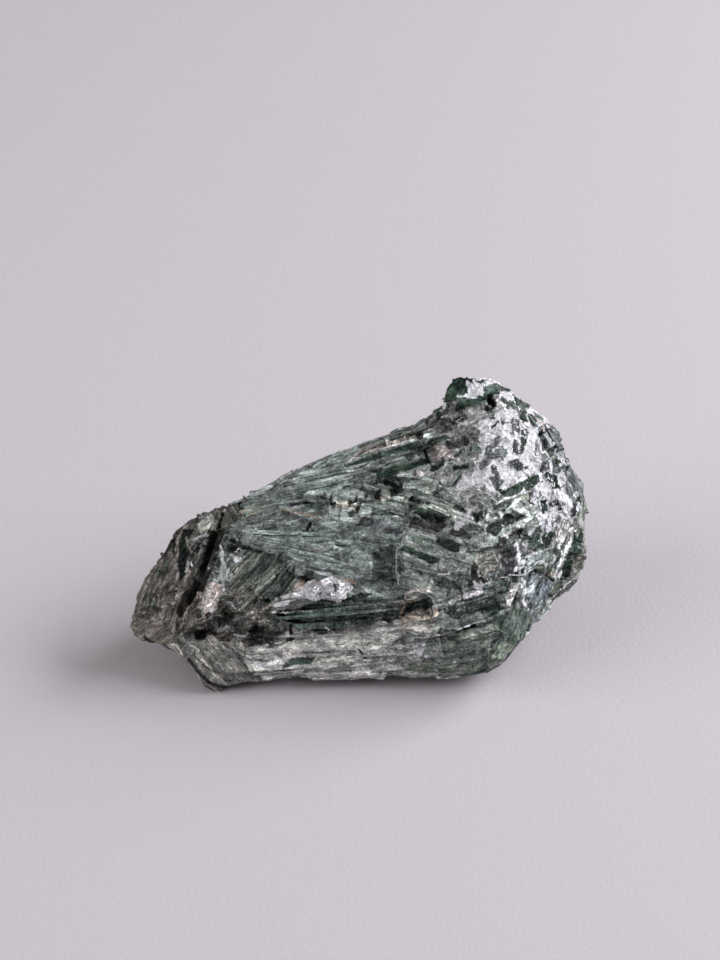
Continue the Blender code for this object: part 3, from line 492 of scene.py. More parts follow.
# Colours as sRGB, 0 to 1.
PALETTE = {
    "black": (0.045, 0.06, 0.054),
    "dark": (0.12, 0.15, 0.14),
    "deep": (0.085, 0.14, 0.11),
    "green": (0.185, 0.235, 0.222),
    "silky": (0.415, 0.448, 0.443),
    "pale": (0.53, 0.565, 0.545),
    "olive": (0.30, 0.33, 0.29),
    "pale_olive": (0.42, 0.44, 0.405),
    "slate": (0.24, 0.25, 0.265),
    "plum": (0.172, 0.172, 0.19),
    "sea": (0.39, 0.425, 0.455),
    "sea_pale": (0.52, 0.555, 0.59),
    "talc": (0.85, 0.85, 0.87),
    "talc_grey": (0.58, 0.575, 0.585),
    "talc_shade": (0.43, 0.437, 0.425),
    "beige": (0.46, 0.455, 0.435),
    "murk": (0.185, 0.205, 0.205),
    "green_light": (0.36, 0.41, 0.385),
    "bone": (0.71, 0.71, 0.70),
    "white": (0.72, 0.725, 0.745),
    "cream": (0.68, 0.65, 0.61),
    "rose": (0.62, 0.59, 0.585),
    "schist_dark": (0.10, 0.09, 0.085),
    "schist": (0.31, 0.295, 0.28),
    "schist_pale": (0.42, 0.40, 0.38),
}


def linear(colour):
    """An sRGB colour as the linear light values that shaders take."""
    colour = np.asarray(colour, float)
    return np.where(colour <= 0.04045, colour / 12.92, ((colour + 0.055) / 1.055) ** 2.4)


# ---------------------------------------------------------------- repeatable noise
def hashed(*keys):
    """A repeatable number from 0 to 1 for each set of whole numbers."""
    value = np.zeros(np.broadcast(*keys).shape, np.uint64)
    for n, key in enumerate(keys):
        value ^= np.asarray(key).astype(np.int64).astype(np.uint64) + np.uint64(0x9E3779B9 * (n + 1))
        value *= np.uint64(0xBF58476D1CE4E5B9)
        value ^= value >> np.uint64(29)
        value *= np.uint64(0x94D049BB133111EB)
        value ^= value >> np.uint64(32)
    return (value >> np.uint64(11)).astype(float) / 2.0**53


def noise(points, size, seed):
    """Smooth noise from -1 to 1, with lumps of the given size."""
    grid = np.asarray(points) / size
    cell = np.floor(grid)
    part = grid - cell
    part = part * part * (3 - 2 * part)
    total = np.zeros(len(grid))
    for corner in product((0, 1), repeat=grid.shape[1]):
        weight = np.prod(np.where(corner, part, 1 - part), axis=1)
        total += weight * hashed(*(cell + corner).T, seed)
    return total * 2 - 1


FINER_LOWER = 1.8  # how many times lower each finer layer of rough noise is


def rough_noise(points, size, layers, seed):
    """Noise with finer and finer lumps added."""
    return sum(noise(points, size / 2**n, seed + n) / FINER_LOWER**n for n in range(layers))


def smooth_step(low, high, value):
    t = np.clip((value - low) / (high - low), 0, 1)
    return t * t * (3 - 2 * t)


# ---------------------------------------------------------------- meshes as arrays
def coordinates(mesh):
    """The mesh's points in millimetres."""
    values = np.zeros(len(mesh.vertices) * 3, np.float32)
    mesh.vertices.foreach_get("co", values)
    return values.reshape(-1, 3).astype(float) / MM


def point_normals(mesh):
    values = np.zeros(len(mesh.vertices) * 3, np.float32)
    mesh.vertex_normals.foreach_get("vector", values)
    return values.reshape(-1, 3).astype(float)


def set_coordinates(mesh, points):
    mesh.vertices.foreach_set("co", (points * MM).astype(np.float32).ravel())
    mesh.update()


# How many values of each kind a point has, and what they are called.
STORED = {"FLOAT": (1, "value"), "FLOAT_VECTOR": (3, "vector"), "FLOAT_COLOR": (4, "color")}


def store(mesh, name, values):
    """Keeps values on the mesh's points, as numbers, vectors or colours."""
    values = np.asarray(values, np.float32)
    each = 1 if values.ndim == 1 else values.shape[1]
    kind = next(kind for kind, (count, _) in STORED.items() if count == each)
    attribute = mesh.attributes.get(name) or mesh.attributes.new(name, kind, "POINT")
    attribute.data.foreach_set(STORED[kind][1], values.ravel())


def stored(mesh, name):
    """The values that the mesh keeps on its points under a name."""
    attribute = mesh.attributes[name]
    each, slot = STORED[attribute.data_type]
    values = np.empty(len(mesh.vertices) * each, np.float32)
    attribute.data.foreach_get(slot, values)
    return values if each == 1 else values.reshape(-1, each)


def store_colours(mesh, name, colours):
    store(mesh, name, np.column_stack([colours, np.ones(len(colours))]))


def open_shape(mesh):
    """The mesh's shape, open to edits."""
    shape = bmesh.new()
    shape.from_mesh(mesh)
    shape.verts.ensure_lookup_table()
    return shape


def close_shape(shape, mesh):
    shape.to_mesh(mesh)
    shape.free()


def add_object(name, mesh):
    obj = bpy.data.objects.new(name, mesh)
    bpy.context.scene.collection.objects.link(obj)
    return obj


def apply_modifiers(obj):
    """Makes what the modifiers give the object's own plain mesh."""
    graph = bpy.context.evaluated_depsgraph_get()
    obj.data = bpy.data.meshes.new_from_object(obj.evaluated_get(graph))
    obj.modifiers.clear()


SAME_POINT = 1e-6  # points closer than this are one point, metres


def stone_copy(name, voxel, smoothing):
    """The CAD stone as an even mesh of small faces, with its edges softened."""
    shape = open_shape(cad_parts[NODE].data)
    bmesh.ops.remove_doubles(shape, verts=shape.verts, dist=SAME_POINT)
    data = bpy.data.meshes.new(name)
    close_shape(shape, data)
    obj = add_object(name, data)
    remesh = obj.modifiers.new("remesh", "REMESH")
    remesh.mode = "VOXEL"
    remesh.voxel_size = voxel * MM
    if smoothing:
        soften = obj.modifiers.new("soften", "SMOOTH")
        soften.factor = 0.5
        soften.iterations = smoothing
    apply_modifiers(obj)
    keep_largest_part(obj.data)
    return obj


def keep_largest_part(mesh):
    """Deletes every part of the mesh that isn't joined to its largest one."""
    shape = open_shape(mesh)
    left, parts = set(shape.verts), []
    while left:
        part = [left.pop()]
        for vertex in part:
            for edge in vertex.link_edges:
                other = edge.other_vert(vertex)
                if other in left:
                    left.discard(other)
                    part.append(other)
        parts.append(part)
    parts.sort(key=len)
    for part in parts[:-1]:
        bmesh.ops.delete(shape, geom=part, context="VERTS")
    close_shape(shape, mesh)


def tree_of(obj):
    """A search tree of the object's faces, in millimetres."""
    points = coordinates(obj.data)
    faces = [tuple(face.vertices) for face in obj.data.polygons]
    return BVHTree.FromPolygons([tuple(p) for p in points], faces)


# ---------------------------------------------------------------- zones on the surface
class Side:
    """A side of the stone as seen by an eye at the view distance, who can point at a place on it."""

    def __init__(self, name, tree=None):
        azimuth, elevation, target = SIDES[name]
        azimuth, elevation = math.radians(azimuth), math.radians(elevation)
        level = math.cos(elevation)
        self.right = np.array((math.cos(azimuth), math.sin(azimuth), 0.0))
        self.back = np.array((math.sin(azimuth) * level, -math.cos(azimuth) * level, math.sin(elevation)))
        self.up = np.cross(self.back, self.right)
        self.target = np.array(target) / MM
        self.eye = self.target + self.back * VIEW_DISTANCE / MM
        self.tree = tree

    def place(self, right, up):
        """The place on the surface seen at (right, up) millimetres from the view's middle, and its normal."""
        gaze = self.target + self.right * right + self.up * up - self.eye
        hit, normal, _, _ = self.tree.ray_cast(Vector(self.eye), Vector(gaze).normalized())
        if hit is None:
            raise RuntimeError(f"nothing is seen at ({right}, {up})")
        return np.array(hit), np.array(normal)

    def seen(self, points):
        """Where the eye sees points: (right, up) millimetres at the view distance."""
        away = points - self.eye
        near = (VIEW_DISTANCE / MM) / -(away @ self.back)
        return np.stack([(away @ self.right) * near, (away @ self.up) * near], axis=1)

    def facing(self, points, normals):
        """Whether the surface is turned towards the eye at each point."""
        return ((self.eye - points) * normals).sum(axis=1) > 0


class Ground(NamedTuple):
    """A zone's own axes on the surface, in millimetres."""

    middle: np.ndarray
    along: np.ndarray
    across: np.ndarray
    out: np.ndarray


def unit(vectors):
    return vectors / np.linalg.norm(vectors, axis=-1, keepdims=True)


def ground_of(zone, sides):
    side = sides[zone.side]
    middle, out = side.place(zone.right, zone.up)
    turn = math.radians(zone.turn)
    along = side.right * math.cos(turn) + side.up * math.sin(turn)
    along = unit(along - out * (along @ out))
    return Ground(middle, along, np.cross(out, along), out)


WANDER = 3.2  # size of the bends of the grain, mm


class Survey:
    """What lies at each of many points on the surface: its zone, and its place in the zone's grain."""

    def __init__(self, points, grounds):
        tall, size = ZONE_RAGGED
        shift = np.stack([rough_noise(points, size, 3, 11 * (n + 1)) for n in range(3)], axis=1) * tall
        far = []
        for name, zone in ZONES.items():
            ground = grounds[name]
            away = points + shift - ground.middle
            far.append(
                ((away @ ground.along) / zone.along) ** 2
                + ((away @ ground.across) / zone.across) ** 2
                + ((away @ ground.out) / zone.deep) ** 2
            )
        self.zone = np.argmin(far, axis=0)

        self.s = np.zeros(len(points))  # along the grain
        self.t = np.zeros(len(points))  # across it
        self.depth = np.zeros(len(points))
        self.grain = np.zeros((len(points), 3))
        wander = np.stack([rough_noise(points, WANDER, 3, seed) for seed in (201, 202, 203)], axis=1)
        for n, (name, zone) in enumerate(ZONES.items()):
            here = self.zone == n
            ground = grounds[name]
            away = points[here] - ground.middle + wander[here] * zone.warp
            s, t = away @ ground.along, away @ ground.across
            angle = np.zeros(len(s))
            if zone.apex:
                angle = np.arctan2(t, s + zone.apex)
                s, t = np.hypot(t, s + zone.apex) - zone.apex, angle * zone.apex
            self.s[here], self.t[here] = s, t
            self.depth[here] = away @ ground.out
            cos, sin = np.cos(angle)[:, None], np.sin(angle)[:, None]
            self.grain[here] = cos * ground.along + sin * ground.across

    def trait(self, name):
        """A number of each point's zone, such as its relief."""
        return np.array([getattr(zone, name) for zone in ZONES.values()], float)[self.zone]

    def colour(self, share, of_blades=False):
        """The zone's colour, between its darker one at 0 and its lighter one at 1."""
        pairs = [(of_blades and zone.blades) or zone.colours for zone in ZONES.values()]
        colours = np.array([[linear(PALETTE[name]) for name in pair] for pair in pairs])[self.zone]
        share = np.clip(share, 0, 1)[:, None]
        return colours[:, 0] * (1 - share) + colours[:, 1] * share


class Cells(NamedTuple):
    """The blades that cross the surface: a number for each blade, and where in it each point lies."""

    key: np.ndarray  # repeatable, 0 to 1
    along: np.ndarray  # place in the blade, -0.5 to 0.5
    across: np.ndarray
    edge: np.ndarray  # distance to the blade's edge, mm


ZONE_APART = 7.0  # places in the noise of two zones are this far apart
DRIFT = 0.45  # how far rows of blades drift, as a share of their width
UNEVEN = (0.32, 2.3)  # how unequal rows are, as a share of their width, and how fast that changes
ROW_LENGTH = (0.6, 0.9)  # shortest length of a row's blades, as a share of the zone's, and how much they vary
BROKEN_SLANT = 1.6  # how much the broken ends slant
ROW_SHIFT = 9  # rows start up to this many blades apart


def blade_cells(survey, width, length, seed):
    """Divides the surface in rows across the grain, and each row in blades with slanting broken ends."""
    drift = noise(np.stack([survey.s / (3 * length), survey.zone * ZONE_APART], axis=1), 1.0, seed)
    t = survey.t / width + DRIFT * drift + UNEVEN[0] * np.sin(survey.t / width * UNEVEN[1] + survey.zone)
    row = np.floor(t)
    across = t - row - 0.5
    stretch = ROW_LENGTH[0] + ROW_LENGTH[1] * hashed(row, survey.zone, seed)
    slant = (hashed(row, survey.zone, seed + 1) - 0.5) * BROKEN_SLANT * width / length
    s = survey.s / (length * stretch) + ROW_SHIFT * hashed(row, survey.zone, seed + 2) + slant * across
    step = np.floor(s)
    along = s - step - 0.5
    key = hashed(row, step, survey.zone, seed + 3)
    edge = np.minimum((0.5 - np.abs(across)) * width, (0.5 - np.abs(along)) * length * stretch)
    return Cells(key, along, across, edge)


def number(key, seed):
    """Another repeatable number for each key."""
    return hashed(np.floor(key * 1e6), seed)


def in_picture(x, y):
    """A point of the picture as (right, up) millimetres at the view distance."""
    scale = PICTURE_HEIGHT / MM / PICTURE[1]
    return np.array(((x - PICTURE[0] / 2) * scale, (PICTURE[1] / 2 - y) * scale))


FILMS = ("talc", "crack", "pale", "rust")  # the kinds of marks that aren't crystals
CRYSTAL_END = 0.3  # how far a crystal reaches past the ends of its line, as a share of its half width
CRYSTAL_SLANT = 1.4  # how much the ends of crystals slant
CRYSTAL_RIM = 0.2  # half width of a crystal's soft rim, mm
CRUMBS = 0.17  # how far a seam's crumbs reach past its sides, mm
THINNEST = 0.15  # least half width of a seam without its crumbs, mm
SEAM_SOFT = (1.3, 0.6)  # a seam fades out between these shares of its half width
CRYSTAL_BEND = 0.25  # how much crystals bend
SEAM_BEND = 0.6  # and seams, for each mm of half width
MARK_WANDER = (2.2, 0.35)  # size and height of the bends of marks, mm
RAGGED = (1.1, 0.3)  # size of the ragged sides of seams, mm, and how much of their half width they take
CHIPPED = (0.9, 0.22)  # the same for crystals


def far_from(line, half, places, slant):
    """How far places lie from a line, as a share of its half width. With a slant the line's ends are cut."""
    far = np.full(len(places), 1e9)
    for a, b in zip(line, line[1:]):
        size = np.linalg.norm(b - a)
        step = (b - a) / size
        s, t = (places - a) @ step, (places - a) @ np.array((-step[1], step[0]))
        if slant is None:
            far = np.minimum(far, np.hypot(np.maximum(np.maximum(-s, s - size), 0), t) / half)
        else:
            past = np.maximum(np.maximum(-s, s - size) + slant * t * np.sign(s - size / 2), 0)
            far = np.minimum(far, np.maximum(np.abs(t), past / CRYSTAL_END) / half)
    return far


class Picture:
    """Where each of many points is in the camera's picture, and how far marks cover it."""

    def __init__(self, points, normals):
        eye = Side("display")
        self.size = len(points)
        self.front = np.flatnonzero(eye.facing(points, normals))
        points = points[self.front]
        self.seen = eye.seen(points)
        size, height = MARK_WANDER
        self.wander = np.stack([noise(points, size, seed) for seed in (151, 152)], axis=1) * height
        self.ragged = 1 + RAGGED[1] * rough_noise(points, RAGGED[0], 2, 153)
        self.chipped = 1 + CHIPPED[1] * rough_noise(points, CHIPPED[0], 2, 154)

    def share(self, kind, spread=0.0):
        """How much of the marks of this kind each point has, from 0 to 1. Spread makes them wider, in mm."""
        crystal = kind not in FILMS
        total = np.zeros(len(self.front))
        for n, mark in enumerate(MARKS.values()):
            if mark.kind != kind:
                continue
            line = np.array([in_picture(*point) for point in mark.points])
            half = mark.width / 2 + spread
            half = max(half - CRUMBS, THINNEST) if kind in ("talc", "pale") else half
            reach = half * 2 + 1
            low, high = line.min(axis=0) - reach, line.max(axis=0) + reach
            near = ((self.seen > low) & (self.seen < high)).all(axis=1)
            bend = CRYSTAL_BEND if crystal else min(1, SEAM_BEND * half)
            here = self.seen[near] + self.wander[near] * bend
            if crystal:
                far = far_from(line, half, here, (hashed(n, 8) - 0.5) * CRYSTAL_SLANT) / self.chipped[near]
                cover = smooth_step(1.0 + CRYSTAL_RIM / half, 1.0 - CRYSTAL_RIM / half, far)
            else:
                cover = smooth_step(*SEAM_SOFT, far_from(line, half, here, None) / self.ragged[near])
            total[near] = np.maximum(total[near], cover)
        full = np.zeros(self.size)
        full[self.front] = total
        return full

    def shares(self):
        """Each kind of mark, with how much of it each point has."""
        return {kind: self.share(kind) for kind in sorted({mark.kind for mark in MARKS.values()})}


def crystals_of(marks):
    """How much of any marked crystal each point has."""
    return np.max([share for kind, share in marks.items() if kind not in FILMS], axis=0)


def tinted(tint, marks):
    """The colours of the points, with the crystals that are marked among them."""
    for kind, share in marks.items():
        if kind not in FILMS:
            tint = tint * (1 - share[:, None]) + linear(PALETTE[kind]) * share[:, None]
    return tint


SHORT_WAVE, LONG_WAVE = 1.9, 4.7  # lengths of the two trains of waves in the schist, mm
FOLDS = (7.0, 2.2)  # size and height of the bends of those waves, mm


def ripples(survey, points):
    """The wavy folds of the schist: two trains of waves, from about -1 to 1."""
    bend = FOLDS[1] * rough_noise(points, FOLDS[0], 2, 101)
    short = np.sin((survey.t + bend) * 2 * math.pi / SHORT_WAVE)
    long = np.sin((survey.t + 0.4 * survey.s + bend) * 2 * math.pi / LONG_WAVE)
    return 0.6 * short + 0.5 * long


# ---------------------------------------------------------------- the mass of the stone
SINK = 0.35  # how far the mass lies under the CAD surface before its relief is added, mm
GROOVE = 0.22  # half width of the grooves between blades, mm
BUNDLE = (3.4, 1.7)  # a bundle of blades is this many blades wide, and this many long
CLEFT_SHADE_DEPTH = 0.9  # a place this far under the guide surface lies in the painted shade of clefts, mm
# Parts of the relief, as shares of the zone's relief.
BUNDLE_STEP, BUNDLE_TILT = 1.1, 1.4
BLADE_STEP, BLADE_SLOPE = 0.9, 0.8
BLADE_TILT = 0.7  # as a share of the blade's width
GROOVE_DEPTH = 0.45
CRACK_DEPTH = 1.1  # of a marked crack, mm
SWELL = (6.0, 0.35)  # size and height of the lumps under all the rest, mm
COARSE_GRIT, FINE_GRIT = (2.6, 0.75), (1.1, 0.5)  # size in mm of the grains, and their share of the height
VEIN_BREAK, VEIN_CRUMB = 3.5, 0.9  # sizes of the breaks in veins and of their crumbs, mm
FACE_SWELL = (5.0, 0.8)  # size and height of the swells of marked crystals, mm
CRYSTAL_FLAT = 0.75  # how much of the relief a marked crystal takes away
TALC_CRUMB = (0.8, 0.2, 0.05)  # size and height of the crumbs of marked talc, and how far it stands out, mm
FILL_FROM = 0.3  # hollows are filled up to this far under the guide, mm


def filled(survey, marks):
    """How far each point's hollow is filled, from 0 to 1."""
    return np.maximum(survey.trait("fill"), marks["cream"])


def relief(survey, points, marks, sunk=0.0):
    """Height of the surface over the plain form in millimetres, with the blades and bundles that it shows."""
    width, length, tall = (survey.trait(name) for name in ("width", "length", "relief"))
    bundles = blade_cells(survey, width * BUNDLE[0], length * BUNDLE[1], 31)
    blades = blade_cells(survey, width, length, 57)
    height = tall * BUNDLE_STEP * (bundles.key - 0.5)
    height += tall * BUNDLE_TILT * bundles.across * (number(bundles.key, 3) - 0.5)
    height += tall * BLADE_STEP * (blades.key - 0.5)
    height += width * blades.across * (number(blades.key, 5) - 0.5) * BLADE_TILT
    height += tall * blades.along * (number(blades.key, 6) - 0.5) * BLADE_SLOPE
    height -= GROOVE_DEPTH * tall * np.exp(-((blades.edge / GROOVE) ** 2))
    height *= survey.trait("cut")
    vein = survey.trait("vein")
    broken = smooth_step(-0.1, 0.35, rough_noise(points, VEIN_BREAK, 3, 71))
    veined = smooth_step(1.3 * vein + 0.2, 0.0, blades.edge) * broken * (vein > 0)
    height += veined**2 * (0.1 + 0.3 * noise(points, VEIN_CRUMB, 73)) * tall
    grains = COARSE_GRIT[1] * rough_noise(points, COARSE_GRIT[0], 4, 81)
    grains += FINE_GRIT[1] * np.abs(noise(points, FINE_GRIT[0], 91))
    height += survey.trait("grit") * grains
    height += survey.trait("wave") * ripples(survey, points)
    height += SWELL[1] * rough_noise(points, SWELL[0], 2, 121)
    crystals = crystals_of(marks)
    swells = FACE_SWELL[1] * crystals * noise(points, FACE_SWELL[0], 171)
    height = height * (1 - CRYSTAL_FLAT * crystals) + swells
    size, tall, out = TALC_CRUMB
    height += marks["talc"] * (out + tall * noise(points, size, 161))
    height -= marks["crack"] * CRACK_DEPTH
    height += filled(survey, marks) * np.maximum(sunk - FILL_FROM, 0)
    return height, blades, bundles, veined


UNDERCUT = (3.6, 3.8)  # the foot of the display side is cut back up to this height, by this much, mm
UNDERCUT_SPAN = (-34.0, 30.0)  # from here to here, mm
UNDERCUT_FADE = (4, 2)  # its ends fade from this far outside the span to this far inside, mm
UNDERCUT_REACH = 12.0  # how far in the cut back fades out, mm
UNDERCUT_STEP = 1.5  # the foot's front is measured this often along the stone, mm


def cut_foot_back(points):
    """Cuts back the foot of the display side under its hem, where it doesn't reach the floor."""
    x, y, z = points.T
    start, end = UNDERCUT_SPAN
    outside, inside = UNDERCUT_FADE
    span = smooth_step(-outside, inside, x - start) * smooth_step(outside, -inside, x - end)
    foot = z < UNDERCUT[0]
    places = np.arange(start - outside - 1, end + outside + 2, UNDERCUT_STEP)
    front = [y[foot & (np.abs(x - place) < UNDERCUT_STEP / 2)].min() for place in places]
    behind = y - np.interp(x, places, front)
    shift = UNDERCUT[1] * span * smooth_step(UNDERCUT[0], 0.2, z) * smooth_step(UNDERCUT_REACH, 0.0, behind)
    return points + np.stack([x * 0, shift, x * 0], axis=1)


PATTERNS_APART = 37.0  # the patterns of two zones are taken this far apart, mm
TONES = (0.45, 0.35, 0.2)  # how much of a point's tone comes from its blade, its bundle and the clouds
TONE_CONTRAST = 1.35
CLOUD, PATCH, CRUMB = 4.0, 5.0, 0.75  # sizes of the clouds of tone, the patches of talc and its crumbs, mm
TALC_BORDER = 0.35  # how soft the borders of the talc are, and how far its patches reach
EDGE_SHADE = ((0.42, 0.6), (0.7, 0.5))  # width in mm and strength of the painted shade in the grooves along blades and bundles
# strength of the painted shade in clefts under the guide, and in marked cracks
CLEFT_SHADE, CRACK_SHADE = 0.45, 0.9
CRYSTAL_CLEAN = 0.8  # how much less film lies on a marked crystal


def paint(mesh, survey, points, blades, bundles, veined, sunk, marks):
    """Stores what the materials need: the grain, colours, talc and painted shade of each point."""
    clouds = 0.5 + 0.5 * rough_noise(points, CLOUD, 3, 131)
    tone = TONES[0] * blades.key + TONES[1] * bundles.key + TONES[2] * clouds
    cut = survey.trait("cut")
    tone = np.clip(0.5 + TONE_CONTRAST * (tone - 0.5) * cut, 0, 1)
    patches = rough_noise(points, PATCH, 4, 141)
    bare = 0.55 - survey.trait("talc") + TALC_BORDER * patches - 0.25 * (blades.key - 0.5)
    talc = smooth_step(TALC_BORDER, -TALC_BORDER, bare)
    crystals = crystals_of(marks)
    crests = survey.trait("wave") * smooth_step(0.2, 0.9, ripples(survey, points) + 0.3 * patches)
    crumbs = smooth_step(0.15, 0.55, noise(points, CRUMB, 165))
    talc = np.maximum(talc, crests) * (1 - 0.85 * crystals * (1 - 0.8 * crumbs))
    talc = np.clip(np.maximum(talc, np.maximum(0.85 * veined, marks["talc"])), 0, 1) * (1 - marks["crack"])
    edge_shade = sum(smooth_step(wide, 0.0, cells.edge) * strong
                    for cells, (wide, strong) in zip((blades, bundles), EDGE_SHADE))
    edge_shade *= (1 - veined) * cut
    cleft_shade = smooth_step(0.5, 1.6, sunk / CLEFT_SHADE_DEPTH)
    # Painted shade: darker along the grooves between blades and bundles, in clefts under the guide and in
    # marked cracks, but not on marked talc.
    dark = edge_shade + CLEFT_SHADE * cleft_shade + CRACK_SHADE * marks["crack"]
    dark = np.clip(dark, 0, 1) * (1 - marks["talc"])
    s, t = survey.s / survey.trait("stretch"), survey.t + PATTERNS_APART * survey.zone
    store_colours(mesh, "tint", tinted(survey.colour((tone - 0.15) / 0.7), marks))
    for name, values in (
        ("place", np.stack([s, t, survey.depth], axis=1) * MM),
        ("grain", survey.grain),
        ("tone", tone),
        ("talc", talc),
        ("dark", dark),
        ("contrast", survey.trait("contrast")),
        ("film", survey.trait("film") * (1 - CRYSTAL_CLEAN * crystals)),
        ("pale", marks["pale"]),
        ("rust", marks["rust"]),
    ):
        store(mesh, name, values)


# ---------------------------------------------------------------- node trees
class Nodes:
    """Adds nodes to a tree, with their settings and inputs in one line."""

    def __init__(self, tree):
        self.tree = tree

    def add(self, kind, values=None, **settings):
        """A new node. Values are its inputs by name or number: a socket is linked, anything else is set."""
        node = self.tree.nodes.new(kind)
        for name, value in settings.items():
            setattr(node, name, value)
        for key, value in (values or {}).items():
            self.put(node.inputs[key] if isinstance(key, int) else self.enabled(node.inputs, key), value)
        return node

    def put(self, socket, value):
        """Links a socket to an input, or sets the input to a plain value."""
        if isinstance(value, bpy.types.NodeSocket):
            self.tree.links.new(value, socket)
        else:
            socket.default_value = value

    @staticmethod
    def enabled(sockets, name):
        return next(s for s in sockets if s.name == name and s.enabled)

    def out(self, node, name):
        return self.enabled(node.outputs, name)

    def math(self, operation, *values, clamp=False):
        node = self.add("ShaderNodeMath", dict(enumerate(values)), operation=operation, use_clamp=clamp)
        return node.outputs[0]

    def product(self, first, *others):
        for other in others:
            first = self.math("MULTIPLY", first, other)
        return first

    def total(self, first, *others):
        for other in others:
            first = self.math("ADD", first, other)
        return first

    def split(self, vector):
        return self.add("ShaderNodeSeparateXYZ", {0: vector}).outputs

    def vector(self, operation, *values):
        node = self.add("ShaderNodeVectorMath", dict(enumerate(values)), operation=operation)
        return node.outputs["Value" if operation in ("DOT_PRODUCT", "LENGTH") else "Vector"]

    def times(self, vector, scale):
        node = self.add("ShaderNodeVectorMath", {0: vector, "Scale": scale}, operation="SCALE")
        return node.outputs["Vector"]

    def join(self, x, y, z):
        return self.add("ShaderNodeCombineXYZ", {0: x, 1: y, 2: z}).outputs[0]


class Growth(Nodes):
    """The geometry nodes that grow blades on a surface."""

    def named(self, name, kind="FLOAT"):
        node = self.add("GeometryNodeInputNamedAttribute", {"Name": name}, data_type=kind)
        return self.out(node, "Attribute")

    def keep(self, geometry, name, value, kind="FLOAT"):
        """Stores a value on the geometry's points under a name."""
        values = {"Geometry": geometry, "Name": name, "Value": value}
        node = self.add("GeometryNodeStoreNamedAttribute", values, data_type=kind, domain="POINT")
        return node.outputs["Geometry"]

    def lies(self, surface, at, out, along, reach):
        """1 where the surface still lies under both ends of a straight blade, and 0 elsewhere."""
        both = None
        for way in (-1.0, 1.0):
            end = self.vector("ADD", at, self.times(along, self.product(reach, way)))
            start = self.vector("ADD", end, self.times(out, RAY_START * MM))
            ray = self.ray(surface, start, self.times(out, -1.0), (RAY_START - BLADE_BEND[0]) * MM)
            hit = self.out(ray, "Is Hit")
            both = hit if both is None else self.product(both, hit)
        return both

    def draw(self, low, high, n):
        """Draw number n of each blade, from low to high."""
        values = {"Min": low, "Max": high, "Seed": self.total(self.seed, n)}
        return self.out(self.add("FunctionNodeRandomValue", values, data_type="FLOAT"), "Value")

    def ray(self, surface, start, way, reach):
        values = {"Target Geometry": surface, "Source Position": start, "Ray Direction": way,
                  "Ray Length": reach}
        return self.add("GeometryNodeRaycast", values)


# Inputs of the growth tree: (name, socket type, default).
GROWTH_INPUTS = (
    ("Geometry", "NodeSocketGeometry", None),
    ("Spacing", "NodeSocketFloat", 1.5 * MM),
    ("Share", "NodeSocketString", ""),
    ("Length", "NodeSocketFloat", 1.0),
    ("Width", "NodeSocketFloat", 1.0),
    ("Depth", "NodeSocketFloat", 1.0),
    ("Lift Low", "NodeSocketFloat", -0.4 * MM),
    ("Lift High", "NodeSocketFloat", 0.3 * MM),
    ("Yaw", "NodeSocketFloat", 0.1),
    ("Pitch", "NodeSocketFloat", 0.03),
    ("Roll", "NodeSocketFloat", 0.25),
    ("Slant", "NodeSocketFloat", 0.5),
    ("Talc", "NodeSocketFloat", 1.0),
    ("Seed", "NodeSocketInt", 1),
    ("Material", "NodeSocketMaterial", None),
)
BLADE_STEPS = 6  # a blade's segments along its length
BLADE_BEND = (-2.6, 0.7)  # how far a blade may bend to follow the surface, inwards and outwards, mm
RAY_START, RAY_LENGTH = 6, 14  # the surface is looked for from this far out, and this far in, mm
DENSITY = 4e6  # upper limit of blades per square metre, before their spacing thins them
LENGTHS, WIDTHS = (0.55, 1.25), (0.6, 1.35)  # how much blades of one zone vary, as shares of its sizes
ROOF = 0.14  # how much lower a blade's long edges are than its ridge, as a share of its depth
SHORT = 0.5  # length of the blades that the form has no room for, as a share of their full length
EDGE = 0.1  # how far the blades stay inside the stone's box, mm
NARROWER = 0.74  # width of a blade's hidden foot, as a share of its width
OWN_APART = 7.0  # how far apart across the grain the patterns of blades are taken, at most, metres


